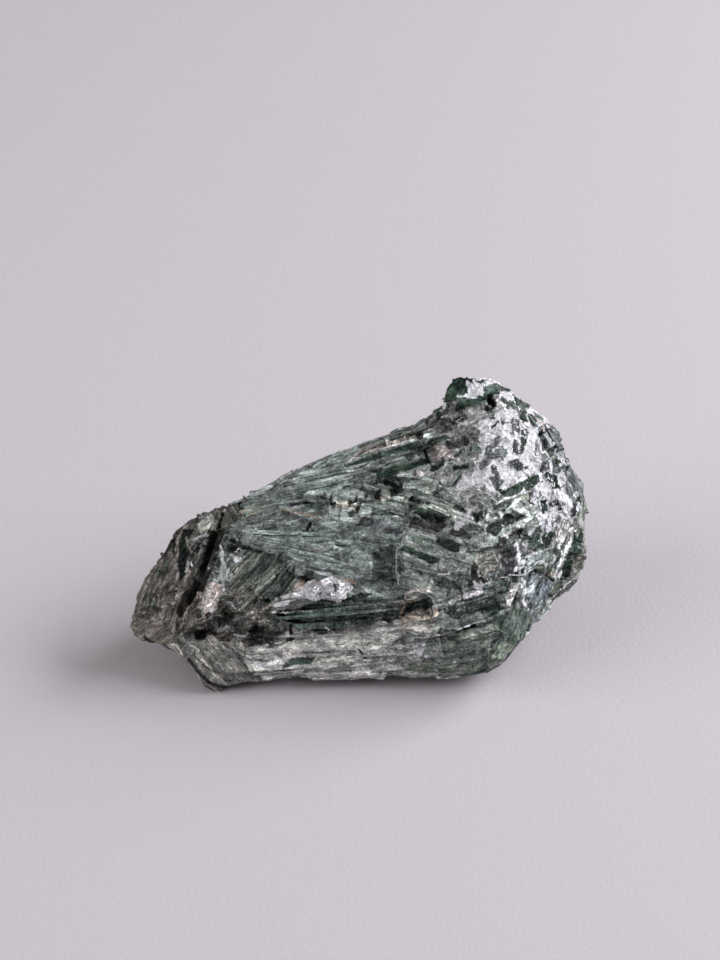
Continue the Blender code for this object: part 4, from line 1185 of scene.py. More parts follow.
def growth_tree(steps=BLADE_STEPS):
    """Blades scattered on the surface, each laid along the grain and bent gently to follow the form."""
    name = f"growth_{steps}"
    if name in bpy.data.node_groups:
        return bpy.data.node_groups[name]
    tree = bpy.data.node_groups.new(name, "GeometryNodeTree")
    for label, kind, default in GROWTH_INPUTS:
        socket = tree.interface.new_socket(name=label, in_out="INPUT", socket_type=kind)
        if default is not None:
            socket.default_value = default
    tree.interface.new_socket(name="Geometry", in_out="OUTPUT", socket_type="NodeSocketGeometry")
    g = Growth(tree)
    given = g.add("NodeGroupInput").outputs
    surface = given["Geometry"]

    share = g.add("GeometryNodeInputNamedAttribute", {"Name": given["Share"]}, data_type="FLOAT")
    values = {"Mesh": surface, "Distance Min": given["Spacing"], "Density Max": DENSITY,
              "Density Factor": g.out(share, "Attribute"), "Seed": given["Seed"]}
    scatter = g.add("GeometryNodeDistributePointsOnFaces", values, distribute_method="POISSON")
    g.seed = given["Seed"]
    out = g.vector("NORMALIZE", scatter.outputs["Normal"])
    grain = g.named("grain", "FLOAT_VECTOR")
    side = g.vector("NORMALIZE", g.vector("CROSS_PRODUCT", out, grain))
    ahead = g.vector("CROSS_PRODUCT", side, out)
    yaw = g.product(g.draw(-1.0, 1.0, 0), given["Yaw"])
    cos, sin = g.math("COSINE", yaw), g.math("SINE", yaw)
    along = g.vector("ADD", g.times(ahead, cos), g.times(side, sin))
    across = g.vector("SUBTRACT", g.times(side, cos), g.times(ahead, sin))
    length = g.product(g.named("blade_length"), given["Length"], g.draw(*LENGTHS, 1))
    width = g.product(g.named("blade_width"), given["Width"], g.draw(*WIDTHS, 2))
    lift = g.draw(given["Lift Low"], given["Lift High"], 3)
    turns = enumerate(("Pitch", "Roll", "Slant"), 4)
    spread = g.join(*(g.product(g.draw(-1.0, 1.0, n), given[turn]) for n, turn in turns))
    # A blade that the form bends away from is laid shorter, and left out where the form is too sharp for it.
    at = g.add("GeometryNodeInputPosition").outputs[0]
    whole, part = (g.lies(surface, at, out, along, g.product(length, share / 2)) for share in (1, SHORT))
    bare = g.math("SUBTRACT", 1.0, g.math("MAXIMUM", whole, part))
    length = g.product(length, g.total(g.product(whole, 1 - SHORT), SHORT))
    points = g.keep(scatter.outputs["Points"], "at_bare", bare)
    for label, value, kind in (
        ("at", at, "FLOAT_VECTOR"),
        ("at_out", out, "FLOAT_VECTOR"),
        ("at_along", along, "FLOAT_VECTOR"),
        ("at_across", across, "FLOAT_VECTOR"),
        ("at_size", g.join(length, width, g.product(width, given["Depth"])), "FLOAT_VECTOR"),
        ("at_spread", spread, "FLOAT_VECTOR"),
        ("at_lift", lift, "FLOAT"),
        ("tone", g.draw(0.0, 1.0, 7), "FLOAT"),
        ("talc", g.product(g.named("talc"), given["Talc"]), "FLOAT"),
        ("tint", g.named("blade_tint", "FLOAT_COLOR"), "FLOAT_COLOR"),
        ("dark", 0.0, "FLOAT"),
        ("at_shift", g.draw(0.0, 1.0, 8), "FLOAT"),
    ):
        points = g.keep(points, label, value, kind)
    bare = g.math("GREATER_THAN", g.named("at_bare"), 0.5)
    points = g.add("GeometryNodeDeleteGeometry", {"Geometry": points, "Selection": bare}, domain="POINT")
    points = points.outputs[0]

    # One blade: a bar of unit size with a low roof, which narrows towards its hidden foot.
    values = {"Size": (1, 1, 1), "Vertices X": steps + 1, "Vertices Y": 3, "Vertices Z": 2}
    bar = g.add("GeometryNodeMeshCube", values)
    x, y, z = g.split(g.add("GeometryNodeInputPosition").outputs[0])
    top = g.math("GREATER_THAN", z, 0.0)
    roof = g.product(g.math("ABSOLUTE", y), -2 * ROOF)
    foot = g.total(g.product(top, 1 - NARROWER), NARROWER)
    shaped = g.join(x, g.product(y, foot), g.total(g.math("SUBTRACT", top, 1.0), g.product(roof, top)))
    bar = g.keep(bar.outputs["Mesh"], "at_local", shaped, "FLOAT_VECTOR")

    grown = g.add("GeometryNodeInstanceOnPoints", {"Points": points, "Instance": bar})
    grown = g.add("GeometryNodeRealizeInstances", {"Geometry": grown.outputs["Instances"]}).outputs[0]

    middle, normal, ahead, aside, local, size, spread = (
        g.named(f"at{name}", "FLOAT_VECTOR")
        for name in ("", "_out", "_along", "_across", "_local", "_size", "_spread")
    )
    local = g.split(local)
    size_x, size_y, size_z = g.split(size)
    pitch, roll, slant = g.split(spread)
    wide = g.product(local[1], size_y)
    far = g.total(g.product(local[0], size_x), g.product(slant, wide))
    high = g.product(local[2], size_z)
    base = g.vector("ADD", g.vector("ADD", middle, g.times(ahead, far)), g.times(aside, wide))
    start = g.vector("ADD", base, g.times(normal, RAY_START * MM))
    ray = g.ray(surface, start, g.times(normal, -1.0), RAY_LENGTH * MM)
    drop = g.vector("DOT_PRODUCT", g.vector("SUBTRACT", g.out(ray, "Hit Position"), base), normal)
    drop = g.product(drop, g.out(ray, "Is Hit"))
    bend = g.add("ShaderNodeClamp", {0: drop, 1: BLADE_BEND[0] * MM, 2: BLADE_BEND[1] * MM}).outputs[0]
    rise = g.total(bend, g.named("at_lift"), high, g.product(pitch, far), g.product(roll, wide))
    final = g.vector("ADD", base, g.times(normal, rise))
    final = g.vector("MAXIMUM", final, tuple(c + EDGE * MM for c in CAD_LOW))
    final = g.vector("MINIMUM", final, tuple(c - EDGE * MM for c in CAD_HIGH))
    grown = g.add("GeometryNodeSetPosition", {"Geometry": grown, "Position": final}).outputs[0]

    shift = g.named("at_shift")
    own = g.join(g.total(far, shift), g.total(wide, g.product(shift, OWN_APART)), high)
    grown = g.keep(grown, "place", own, "FLOAT_VECTOR")
    grown = g.add("GeometryNodeRemoveAttribute", {"Geometry": grown, "Name": "at*"}, pattern_mode="WILDCARD")
    finish = g.add("GeometryNodeSetMaterial", {"Geometry": grown.outputs[0], "Material": given["Material"]})
    g.add("NodeGroupOutput", {0: finish.outputs[0]})
    return tree


def grow(name, surface, material, steps=BLADE_STEPS, **inputs):
    """Grows one field of blades on the surface, as one plain mesh."""
    obj = add_object(name, surface.data.copy())
    modifier = obj.modifiers.new("growth", "NODES")
    modifier.node_group = growth_tree(steps)
    sockets = {item.name: item.identifier for item in modifier.node_group.interface.items_tree
               if item.in_out == "INPUT"}
    modifier[sockets["Material"]] = material
    for label, value in inputs.items():
        modifier[sockets[label.replace("_", " ").title()]] = value
    apply_modifiers(obj)
    if not obj.data.polygons:
        raise RuntimeError(f"nothing grew in {name}")
    leave_out_crossing(obj.data, 6 * (steps + 1), surface, inputs["yaw"] < 0.5)
    mark_blades(obj.data)
    return obj


def picture_of(points):
    """The camera's picture of points that all face away from the stone's middle."""
    return Picture(points, unit(points - np.array(MIDDLE) / MM))


def mark_blades(mesh):
    """Gives blades the colours of the crystals that are marked where they lie."""
    marks = picture_of(coordinates(mesh)).shares()
    bare = np.clip(1 - crystals_of(marks), 0, 1)
    store_colours(mesh, "tint", tinted(stored(mesh, "tint")[:, :3], marks))
    for name in ("talc", "film"):
        store(mesh, name, stored(mesh, name) * bare)
    for name in ("pale", "rust"):
        store(mesh, name, marks[name])


STANDS_OFF = 0.95  # a blade that reaches higher over the guide than this is left out, mm
ASKEW = 0.84  # cosine of how far a blade may turn from the grain of what it reaches over
MOST_ASKEW = 0.25  # share of a blade's corners that may lie askew
MOST_CROSSED = 0.12  # share of a blade's corners that a mark may cover
COVERED = 0.3  # a corner with more of a mark than this is covered
CRACK_SIDE = 0.2  # how far past a crack's sides blades are still taken away, mm


def leave_out_crossing(mesh, corners_each, surface, along):
    """Takes away the blades that a mark crosses, that stand off the surface or that lie across its grain.

    All blades have the same number of corners. The grain only counts for blades that lie along it.
    """
    points = coordinates(mesh)
    picture = picture_of(points)
    marks = picture.shares()
    crossed = np.maximum(marks["talc"], picture.share("crack", CRACK_SIDE))
    crossed = np.maximum(crossed, crystals_of(marks)) > COVERED
    gone = crossed.reshape(-1, corners_each).mean(axis=1) > MOST_CROSSED
    tree = tree_of(surface)
    nearest = [tree.find_nearest(Vector(point)) for point in points]
    high = np.array([(Vector(point) - hit).dot(out) for point, (hit, out, _, _) in zip(points, nearest)])
    gone |= high.reshape(-1, corners_each).max(axis=1) > STANDS_OFF
    if along:
        under = [surface.data.polygons[face].vertices[0] for _, _, face, _ in nearest]
        blades = points.reshape(-1, corners_each, 3)
        axes = np.repeat(unit(blades[:, -1] - blades[:, 0]), corners_each, axis=0)
        askew = np.abs((stored(surface.data, "grain")[under] * axes).sum(axis=1)) < ASKEW
        gone |= askew.reshape(-1, corners_each).mean(axis=1) > MOST_ASKEW
    shape = open_shape(mesh)
    leaving = [shape.verts[n] for n in np.flatnonzero(np.repeat(gone, corners_each))]
    bmesh.ops.delete(shape, geom=leaving, context="VERTS")
    close_shape(shape, mesh)


# ---------------------------------------------------------------- materials
class Shader(Nodes):
    """The nodes of one material."""

    def __init__(self, name):
        material = bpy.data.materials.get(name) or bpy.data.materials.new(name)
        material.use_nodes = True
        material.node_tree.nodes.clear()
        super().__init__(material.node_tree)
        self.material = material
        output = self.add("ShaderNodeOutputMaterial")
        self.surface = self.add("ShaderNodeBsdfPrincipled")
        self.tree.links.new(self.surface.outputs[0], output.inputs["Surface"])

    def attribute(self, name, output="Fac"):
        return self.add("ShaderNodeAttribute", attribute_name=name).outputs[output]

    def ramp(self, value, low, high, clamp=True):
        """Value mapped so that low becomes 0 and high becomes 1."""
        values = {"Value": value, "From Min": low, "From Max": high}
        return self.add("ShaderNodeMapRange", values, clamp=clamp).outputs["Result"]

    def mix(self, share, a, b):
        node = self.add("ShaderNodeMix", data_type="RGBA")
        for key, value in (("Factor", share), ("A", a), ("B", b)):
            self.put(self.enabled(node.inputs, key), value)
        return self.out(node, "Result")

    def noise(self, where, lumps, detail, rough=0.5):
        """A noise node with lumps of the given sizes in millimetres."""
        values = {"Vector": self.stretched(where, *lumps), "Scale": 1.0, "Detail": detail, "Roughness": rough}
        return self.add("ShaderNodeTexNoise", values)

    def pattern(self, where, lumps, detail=2.0, rough=0.5):
        """Noise from about 0 to 1, with lumps of the given sizes in millimetres."""
        return self.ramp(self.noise(where, lumps, detail, rough).outputs["Fac"], 0.3, 0.7)

    def grains(self, where, lumps):
        """A flat random shade for each crystal grain of the given sizes in millimetres."""
        node = self.add("ShaderNodeTexVoronoi", {"Vector": self.stretched(where, *lumps), "Scale": 1.0})
        return self.add("ShaderNodeSeparateColor", {0: node.outputs["Color"]}).outputs[0]

    def weighed(self, *parts):
        """The sum of each pattern's distance from its middle, times its weight."""
        total = None
        for value, weight in parts:
            part = self.product(self.math("SUBTRACT", value, 0.5), weight)
            total = part if total is None else self.total(total, part)
        return total

    def stretched(self, where, x, y, z):
        """Coordinates for a pattern with lumps x, y and z millimetres long."""
        return self.vector("MULTIPLY", where, (1e3 / x, 1e3 / y, 1e3 / z))

    def set(self, name, value):
        self.put(self.surface.inputs[name], value)

    def bump(self, height, distance, strength, normal=None):
        values = {"Height": height, "Distance": distance * MM, "Strength": strength}
        if normal is not None:
            values["Normal"] = normal
        return self.add("ShaderNodeBump", values).outputs["Normal"]


def rgba(colour):
    return (*linear(colour), 1.0)


STRIAE = 0.55  # how much the striae darken and lighten the blades
BUMP = 0.06  # height of the striae, mm
ROUGH = 0.46  # roughness of a clean blade
IOR = 1.62  # of actinolite


def stone_material(name):
    """Silky blades with striae along the grain under a dusty film, and crumbly talc where there is talc."""
    m = Shader(name)
    colours = bpy.context.scene.specimen_colours
    place = m.attribute("place", "Vector")
    here = m.add("ShaderNodeTexCoord").outputs["Object"]
    talc = m.attribute("talc")

    # Patterns from 0 to 1, with the size of their lumps in millimetres.
    fine = m.pattern(place, (7.0, 0.24, 0.9), 3.0, 0.65)
    bands = m.pattern(place, (11.0, 1.1, 2.4), 2.0)
    cloud = m.pattern(here, (4.5, 4.5, 4.5), 4.0, 0.6)
    grit = m.pattern(here, (0.6, 0.6, 0.6), 3.0, 0.75)
    film = m.pattern(here, (2.3, 2.3, 2.3), 6.0, 0.78)
    specks = m.pattern(here, (0.34, 0.34, 0.34), 1.0)
    crumbs = m.pattern(here, (1.1, 1.1, 1.1), 4.0, 0.7)

    # Blades: each is darker or lighter, with striae along it, and all are mottled.
    wavy = m.noise(here, (1.3, 1.3, 1.3), 2.0).outputs["Color"]
    wavy = m.vector("ADD", place, m.times(m.vector("SUBTRACT", wavy, (0.5, 0.5, 0.5)), 0.9 * MM))
    splinters = m.grains(wavy, (4.2, 0.8, 1.2))
    chips = m.grains(wavy, (0.9, 0.5, 0.6))
    shade = m.weighed((fine, STRIAE), (bands, 0.5), (m.attribute("tone"), 0.55), (cloud, 0.55),
                      (grit, 0.35), (splinters, 0.38), (chips, 0.38), (specks, 0.32))
    shade = m.math("SUBTRACT", m.product(shade, m.attribute("contrast")), -0.06)
    base = m.times(m.attribute("tint", "Color"), m.math("POWER", 10.0, shade))
    emerald = m.ramp(m.pattern(place, (6.0, 1.0, 1.6), 2.0), 0.62, 0.84)
    base = m.mix(m.product(emerald, 0.4), base, rgba(colours.emerald))
    dusty = m.product(m.ramp(film, 0.42, 0.80), m.ramp(grit, 0.25, 0.75))
    dusty = m.product(dusty, m.attribute("film"))
    base = m.mix(dusty, base, rgba(colours.film))
    # Dark flecks, thickest where the clouds are darker.
    dark_flecks = m.product(m.ramp(crumbs, 0.28, 0.12), m.ramp(cloud, 0.75, 0.45))
    base = m.mix(m.product(dark_flecks, 0.8), base, rgba(colours.dark))
    # Painted glints: rare white specks in the dusty film, standing in for light caught by cleavage faces.
    painted_glints = m.product(m.ramp(chips, 0.965, 0.975), m.ramp(film, 0.45, 0.65))
    painted_glints = m.product(painted_glints, m.attribute("film"))
    base = m.mix(m.product(painted_glints, 0.8), base, rgba(colours.talc))
    base = m.mix(m.product(m.attribute("pale"), m.ramp(grit, 0.1, 0.6)), base, rgba(colours.film))

    # Talc: crumbly white over a grey ground, ragged at its borders and streaked along the grain.
    ragged = m.weighed((crumbs, 0.75), (fine, 0.3), (film, 0.3))
    amount = m.ramp(m.total(talc, ragged), 0.46, 0.66)
    fresh = m.ramp(m.weighed((crumbs, 0.8), (specks, 0.5)), -0.3, 0.1)
    white = m.mix(fresh, rgba(colours.talc_grey), rgba(colours.talc))
    # Dark flecks in the talc, fewer where the film is heavy.
    talc_flecks = m.product(m.ramp(specks, 0.14, 0.04), m.ramp(film, 0.55, 0.25))
    white = m.mix(m.product(talc_flecks, 0.8), white, rgba(colours.dark))
    greyer = m.product(m.ramp(film, 0.5, 0.2), m.ramp(splinters, 0.45, 0.85))
    white = m.mix(m.product(greyer, 0.45), white, rgba(colours.slate))
    base = m.mix(amount, base, white)

    # Iron stain, and the painted shade of grooves, clefts and gaps.
    rust = m.product(m.attribute("rust"), m.ramp(grit, 0.2, 0.7))
    stain = m.mix(crumbs, rgba(colours.rust_dark), rgba(colours.rust))
    base = m.mix(m.product(rust, 0.9), base, stain)
    base = m.mix(m.product(m.attribute("dark"), 0.85), base, rgba(colours.dark))
    m.set("Base Color", base)

    rough = m.total(m.product(m.math("SUBTRACT", fine, 0.5), 0.16), ROUGH, m.product(dusty, 0.2))
    m.set("Roughness", m.math("ADD", rough, m.product(amount, 0.35), clamp=True))
    m.set("IOR", IOR)
    shine = m.ramp(m.vector("DOT_PRODUCT", base, (0.33, 0.34, 0.33)), 0.004, 0.05)
    m.set("Specular IOR Level", m.total(m.product(shine, 0.2), 0.02))
    bumps = m.bump(fine, BUMP, 1.0)
    bumps = m.bump(m.weighed((grit, 1.0), (crumbs, 0.8)), BUMP * 1.6, 1.0, bumps)
    m.set("Normal", m.bump(m.product(crumbs, amount), 0.2, 0.8, bumps))
    return m.material


# ---------------------------------------------------------------- settings that a user would change
def length_setting(name, description, default):
    return FloatProperty(name=name, description=description, default=default, unit="LENGTH",
                         subtype="DISTANCE", precision=5)


def colour_setting(name, description, default):
    return FloatVectorProperty(name=name, description=description, default=default, subtype="COLOR_GAMMA",
                               size=3, min=0.0, max=1.0)


class SpecimenSizes(bpy.types.PropertyGroup):
    """Sizes of the stone's surface."""

    grain: length_setting("Mass Detail", "Size of the mass's small faces", 0.29 * MM)
    guide: length_setting("Guide Detail", "Size of the smooth guide's faces", 1.3 * MM)
    triangles: IntProperty(name="Far Triangles", description="Triangles off the display side", default=150000)
    blade_spacing: length_setting("Blade Spacing", "Least distance between long blades", 1.25 * MM)
    block_spacing: length_setting("Block Spacing", "Least distance between blocks", 2.1 * MM)
    fibre_spacing: length_setting("Fibre Spacing", "Least distance between fibres", 0.95 * MM)


class SpecimenColours(bpy.types.PropertyGroup):
    """Colours of the minerals, shared by the mass and what grows on it."""

    emerald: colour_setting("Emerald", "Clear green streaks", (0.14, 0.25, 0.18))
    film: colour_setting("Film", "Dusty film on the blades", (0.64, 0.67, 0.675))
    talc: colour_setting("Talc", "Fresh talc", (0.83, 0.835, 0.86))
    talc_grey: colour_setting("Grey Talc", "Talc in its hollows", (0.60, 0.60, 0.62))
    rust: colour_setting("Rust", "Iron stain", (0.74, 0.66, 0.57))
    rust_dark: colour_setting("Dark Rust", "Iron stain in hollows", (0.42, 0.33, 0.25))
    slate: colour_setting("Slate", "Grey grains in the talc", (0.34, 0.35, 0.36))
    # Dark colours the painted shade of grooves, clefts and gaps, and the dark flecks.
    dark: colour_setting("Dark", "Clefts and gaps", (0.055, 0.07, 0.06))


class SpecimenLight(bpy.types.PropertyGroup):
    """Light and floor of the stage."""

    key: FloatProperty(name="Key Light", description="Power of the key light in watts", default=52.0)
    fill: FloatProperty(name="Fill Light", description="Power of the fill light in watts", default=10.0)
    front: FloatProperty(name="Front Light", description="Power of the high light in watts", default=2.5)
    sky: FloatProperty(name="Surroundings", description="Strength of the light all round", default=0.38)
    floor: colour_setting("Floor", "Pale lilac paper", (0.628, 0.613, 0.638))


# ---------------------------------------------------------------- operators
def in_place(obj):
    """Ties a finished piece to the stone's body."""
    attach(obj, BODY)
    return obj


RAW_DETAIL = 0.8  # size of the faces of the copy that clefts are measured on, mm
GUIDE_SMOOTHING, MASS_SMOOTHING = 9, 2  # rounds of smoothing
OFF_FLOOR = 1.5  # nothing grows lower than this, mm
OFF_TALC, OFF_CRACK = 0.6, 0.8  # how far blades keep off marked talc and cracks, mm
SUNKEN = (1.3, 0.6)  # fewer blades grow where the stone lies this far under the guide, mm
BLADE_CLOUD = 5.0  # size of the clouds in the colour of blades, mm


def guide_surface():
    """The smooth guide that the blades follow, made once, with each point's zone and blade sizes."""
    if GUIDE in bpy.data.objects:
        return bpy.data.objects[GUIDE]
    sizes = bpy.context.scene.specimen_sizes
    raw_tree = tree_of(stone_copy("raw", RAW_DETAIL, 0))
    bpy.data.objects.remove(bpy.data.objects["raw"])
    guide = stone_copy(GUIDE, sizes.guide / MM, GUIDE_SMOOTHING)
    sides = {side: Side(side, tree_of(guide)) for side in SIDES}
    grounds = {zone: ground_of(ZONES[zone], sides) for zone in ZONES}
    mesh = guide.data
    points = coordinates(mesh)
    survey = Survey(points, grounds)
    normals = point_normals(mesh)
    sunk = np.array([sunk_at(raw_tree, p, n) for p, n in zip(points, normals)])
    picture = Picture(points, normals)
    marks = picture.shares()
    shut = np.maximum(picture.share("talc", OFF_TALC), picture.share("crack", OFF_CRACK))
    shut = np.maximum(shut, crystals_of(marks))
    open_share = smooth_step(*SUNKEN, sunk) * (points[:, 2] > OFF_FLOOR) * (1 - shut)
    fields = [zone.field for zone in ZONES.values()]
    for field in sorted(set(fields) - {""}):
        here = np.array([f == field for f in fields])[survey.zone]
        store(mesh, f"share_{field}", here * survey.trait("thick") * open_share)
    store(mesh, "blade_length", survey.trait("length") * MM)
    store(mesh, "blade_width", survey.trait("width") * MM)
    _, blades, bundles, veined = relief(survey, points, marks)
    clear = {kind: share * 0 for kind, share in marks.items()}
    paint(mesh, survey, points, blades, bundles, veined * 0, sunk, clear)
    tone = 0.5 + 0.5 * rough_noise(points, BLADE_CLOUD, 2, 171)
    store_colours(mesh, "blade_tint", tinted(survey.colour(tone, True), marks))
    guide.hide_render = True
    guide["grounds"] = json.dumps({zone: [list(part) for part in ground] for zone, ground in grounds.items()})
    return guide


LOOK_FROM, LOOK_THROUGH = 2.0, 12.0  # clefts are looked for from this far out, and this far in, mm


def sunk_at(tree, point, normal):
    """How far the stone lies under a point of the guide, mm."""
    start = Vector(point) + Vector(normal) * LOOK_FROM
    hit, _, _, distance = tree.ray_cast(start, -Vector(normal), LOOK_THROUGH)
    return 0.0 if hit is None else distance - LOOK_FROM


def grounds_of(guide):
    noted = json.loads(guide["grounds"])
    return {zone: Ground(*(np.array(part) for part in parts)) for zone, parts in noted.items()}


SHOWN = -0.08  # the display side reaches to where the surface faces away by this cosine
FLAT_BELOW = 2.5  # the relief fades out below this height, mm
ON_FLOOR = 0.05  # what is lower than this stands on the floor, mm


def split_off(obj, name, stays):
    """Moves the faces whose points don't stay to an object of their own, and notes the normals they had."""
    store(obj.data, "facing", point_normals(obj.data))
    other = add_object(name, obj.data.copy())
    for piece, keep in ((obj, True), (other, False)):
        shape = open_shape(piece.data)
        gone = [face for face in shape.faces if (stays[[v.index for v in face.verts]].mean() > 0.5) != keep]
        bmesh.ops.delete(shape, geom=gone, context="FACES")
        close_shape(shape, piece.data)
    return other


def keep_facing(mesh):
    """Gives a split piece the normals of the whole, so that no seam shows."""
    facing = stored(mesh, "facing")
    mesh.attributes.remove(mesh.attributes["facing"])
    mesh.normals_split_custom_set_from_vertices(facing)


class SPECIMEN_OT_mass(bpy.types.Operator):
    """Make the mass of the stone, with the relief and colours of its zones."""

    bl_idname = "specimen.mass"
    bl_label = "Mass"

    def execute(self, context):
        sizes = context.scene.specimen_sizes
        guide = guide_surface()
        stone = stone_copy("actinolite_mass", sizes.grain / MM, MASS_SMOOTHING)
        mesh = stone.data
        points, normals = coordinates(mesh), point_normals(mesh)
        survey = Survey(points, grounds_of(guide))
        guide_tree = tree_of(guide)
        sunk, shown = np.zeros(len(points)), np.zeros(len(points), bool)
        eye = Side("display").eye
        for n, p in enumerate(points):
            hit, out, _, _ = guide_tree.find_nearest(Vector(p))
            sunk[n] = (hit - Vector(p)).dot(out)
            shown[n] = out.dot(Vector(eye - p).normalized()) > SHOWN
        marks = Picture(points, normals).shares()
        height, blades, bundles, veined = relief(survey, points, marks, sunk)
        sunk *= 1 - filled(survey, marks)
        paint(mesh, survey, points, blades, bundles, veined, sunk, marks)
        flat = smooth_step(0.0, FLAT_BELOW, points[:, 2])
        moved = points + normals * ((height - SINK) * flat)[:, None]
        moved = np.clip(moved, np.array(CAD_LOW) / MM, np.array(CAD_HIGH) / MM)
        moved[points[:, 2] < ON_FLOOR, 2] = 0.0
        moved = cut_foot_back(moved)
        set_coordinates(mesh, moved)
        store(mesh, "shown", shown.astype(float))
        far = stone.vertex_groups.new(name="far")
        far.add([int(n) for n in np.flatnonzero(~shown)], 1.0, "REPLACE")
        thin = stone.modifiers.new("thin", "DECIMATE")
        thin.vertex_group = far.name
        shown_faces = 2 * shown.mean() * len(mesh.polygons)
        thin.ratio = (shown_faces + sizes.triangles) / (2 * len(mesh.polygons))
        apply_modifiers(stone)
        settled = coordinates(stone.data)
        settled[:, 2] = np.maximum(settled[:, 2], 0.0)
        set_coordinates(stone.data, settled)
        stone.data.shade_smooth()
        stone.data.materials.clear()
        stone.data.materials.append(stone_material("actinolite_mass"))
        hidden = split_off(stone, "actinolite_mass_far", stored(stone.data, "shown"))
        across = coordinates(stone.data)[:, 0]
        narrow = split_off(stone, "actinolite_mass_narrow", (across > np.median(across)).astype(float))
        for piece in (stone, narrow, hidden):
            keep_facing(piece.data)
            in_place(piece)
        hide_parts(NODE)
        return {"FINISHED"}


class SPECIMEN_OT_blades(bpy.types.Operator):
    """Grow the long blades of the fans, the ridge and the shelves."""

    bl_idname = "specimen.blades"
    bl_label = "Long Blades"

    def execute(self, context):
        sizes = context.scene.specimen_sizes
        material = stone_material("actinolite_blade")
        in_place(
            grow("long_blades", guide_surface(), material, share="share_blade", spacing=sizes.blade_spacing,
                 length=1.0, width=1.0, depth=1.0, lift_low=-0.45 * MM, lift_high=0.12 * MM, yaw=0.06,
                 pitch=0.015, roll=0.16, slant=0.7, seed=3)
        )
        return {"FINISHED"}


class SPECIMEN_OT_blocks(bpy.types.Operator):
    """Grow the short broken blades of the blocky parts, and the stray ones in the talc."""

    bl_idname = "specimen.blocks"
    bl_label = "Blocks and Strays"

    def execute(self, context):
        sizes = context.scene.specimen_sizes
        material = stone_material("actinolite_block")
        in_place(
            grow("blocky_blades", guide_surface(), material, 3, share="share_block",
                 spacing=sizes.block_spacing, length=0.9, width=0.9, depth=1.1, lift_low=-0.7 * MM,
                 lift_high=0.25 * MM, yaw=0.14, pitch=0.04, roll=0.2, slant=0.6, talc=0.4, seed=5)
        )
        in_place(
            grow("stray_blades", guide_surface(), material, 2, share="share_stray",
                 spacing=sizes.block_spacing * 1.3, length=0.85, width=0.7, depth=1.2, lift_low=-0.6 * MM,
                 lift_high=0.3 * MM, yaw=1.2, pitch=0.12, roll=0.4, slant=0.6, talc=0.2, seed=7)
        )
        return {"FINISHED"}


class SPECIMEN_OT_fibres(bpy.types.Operator):
    """Grow the fine fibres of the hem and the schist."""

    bl_idname = "specimen.fibres"
    bl_label = "Fibres"

    def execute(self, context):
        sizes = context.scene.specimen_sizes
        material = stone_material("talc_fibre")
        in_place(
            grow("fibres", guide_surface(), material, 5, share="share_fibre", spacing=sizes.fibre_spacing,
                 length=0.9, width=0.75, depth=0.9, lift_low=-0.5 * MM, lift_high=0.1 * MM, yaw=0.1,
                 pitch=0.02, roll=0.3, slant=0.9, seed=9)
        )
        return {"FINISHED"}


# Each light's place and size in metres, and its colour.
LIGHTS = {
    "key": ((1.25, 0.29, 0.87), (1.5, 0.9), (1.0, 0.99, 0.985)),
    "fill": ((-0.95, -0.25, 0.55), (0.9, 0.9), (1.0, 0.96, 0.93)),
    "front": ((0.70, -0.45, 1.10), (0.9, 0.9), (1.0, 0.99, 0.985)),
}
SKY = (0.83, 0.79, 0.81, 1)
PULP = (0.6, 0.58, 0.6)  # colour of the paper's fibres, as sRGB
FLOOR_HALF = 3.0  # half the floor's width, metres
FLOOR_UNDER = 0.05  # how far the floor lies under the stone, mm
SENSOR = 36  # the camera's longer side, mm


def aim(obj, place, way):
    """Puts a light or the camera in its place, looking one way."""
    obj.location = place
    obj.rotation_mode = "QUATERNION"
    obj.rotation_quaternion = Vector(way).to_track_quat("-Z", "Y")


def area_light(name, power):
    place, size, colour = LIGHTS[name]
    light = bpy.data.lights.new(name, "AREA")
    light.shape = "RECTANGLE"
    light.size, light.size_y = size
    light.energy = power
    light.color = colour
    aim(add_object(name, light), place, MIDDLE - Vector(place))


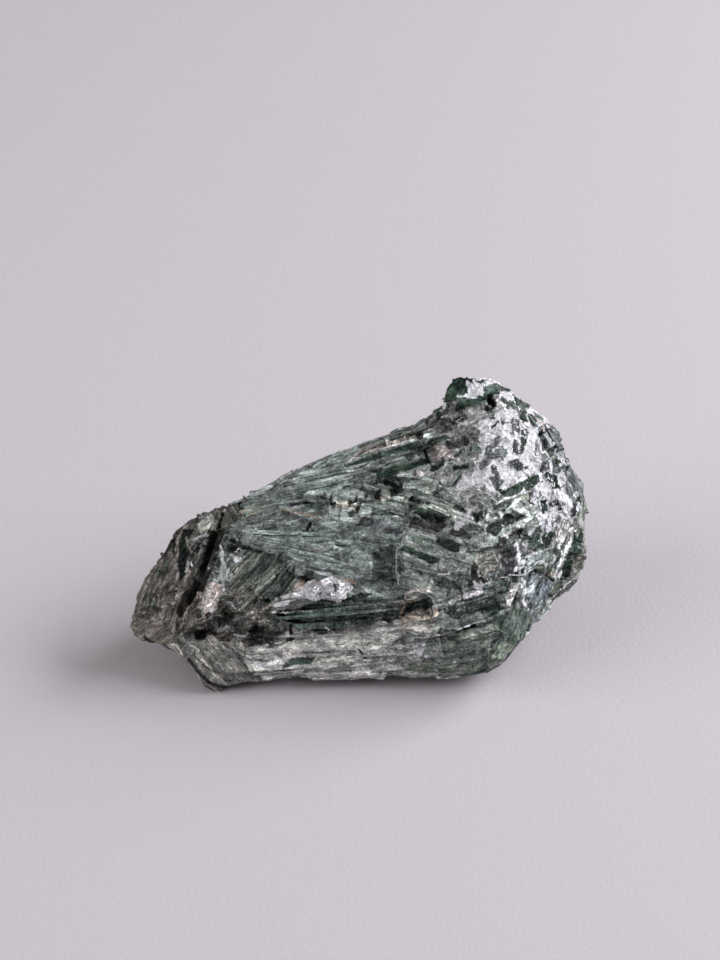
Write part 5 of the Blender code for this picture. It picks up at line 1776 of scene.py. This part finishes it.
class SPECIMEN_OT_stage(bpy.types.Operator):
    """Make the floor, the lights and the camera."""

    bl_idname = "specimen.stage"
    bl_label = "Stage"

    def execute(self, context):
        settings = context.scene.specimen_light
        data = bpy.data.meshes.new("floor")
        shape = open_shape(data)
        bmesh.ops.create_grid(shape, x_segments=1, y_segments=1, size=FLOOR_HALF)
        close_shape(shape, data)
        floor = add_object("floor", data)
        data.transform(Matrix.Translation((0, 0, -FLOOR_UNDER * MM)))
        m = Shader("paper")
        here = m.add("ShaderNodeTexCoord").outputs["Object"]
        pulp = m.noise(here, (1.1, 1.1, 1.1), 3.0, 0.6).outputs["Fac"]
        m.set("Base Color", m.mix(m.product(pulp, 0.08), rgba(settings.floor), rgba(PULP)))
        m.set("Roughness", 0.9)
        m.set("Specular IOR Level", 0.2)
        m.set("Normal", m.bump(pulp, 0.3, 0.45))
        data.materials.append(m.material)

        for name in LIGHTS:
            area_light(name, getattr(settings, name))
        world = bpy.data.worlds.new("surroundings")
        context.scene.world = world
        world.use_nodes = True
        background = world.node_tree.nodes["Background"]
        background.inputs["Color"].default_value = SKY
        background.inputs["Strength"].default_value = settings.sky

        side = Side("display")
        camera = add_object("camera", bpy.data.cameras.new("camera"))
        aim(camera, side.eye * MM, -side.back)
        camera.data.sensor_width = SENSOR
        camera.data.lens = SENSOR * VIEW_DISTANCE / PICTURE_HEIGHT
        context.scene.camera = camera
        context.scene.view_settings.view_transform = "Standard"
        return {"FINISHED"}


class SPECIMEN_PT_panel(bpy.types.Panel):
    """Lists the specimen's pieces and settings."""

    bl_idname = "SPECIMEN_PT_panel"
    bl_label = "Actinolite Specimen"
    bl_space_type = "VIEW_3D"
    bl_region_type = "UI"
    bl_category = "Specimen"

    def draw(self, context):
        for operator in OPERATORS:
            self.layout.operator(operator.bl_idname)
        for group in GROUPS:
            box = self.layout.box()
            settings = getattr(context.scene, group)
            for name in settings.__annotations__:
                box.prop(settings, name)


OPERATORS = (
    SPECIMEN_OT_mass,
    SPECIMEN_OT_blades,
    SPECIMEN_OT_blocks,
    SPECIMEN_OT_fibres,
    SPECIMEN_OT_stage,
)
GROUPS = {
    "specimen_sizes": SpecimenSizes,
    "specimen_colours": SpecimenColours,
    "specimen_light": SpecimenLight,
}


def register():
    for name, group in GROUPS.items():
        bpy.utils.register_class(group)
        setattr(bpy.types.Scene, name, PointerProperty(type=group))
    for operator in OPERATORS:
        bpy.utils.register_class(operator)
    bpy.utils.register_class(SPECIMEN_PT_panel)


def unregister():
    bpy.utils.unregister_class(SPECIMEN_PT_panel)
    for operator in reversed(OPERATORS):
        bpy.utils.unregister_class(operator)
    for name, group in GROUPS.items():
        delattr(bpy.types.Scene, name)
        bpy.utils.unregister_class(group)


def main():
    register()
    for operator in OPERATORS:
        group, name = operator.bl_idname.split(".")
        getattr(getattr(bpy.ops, group), name)()
    bpy.data.objects.remove(bpy.data.objects[GUIDE])


if __name__ == "__main__":
    main()
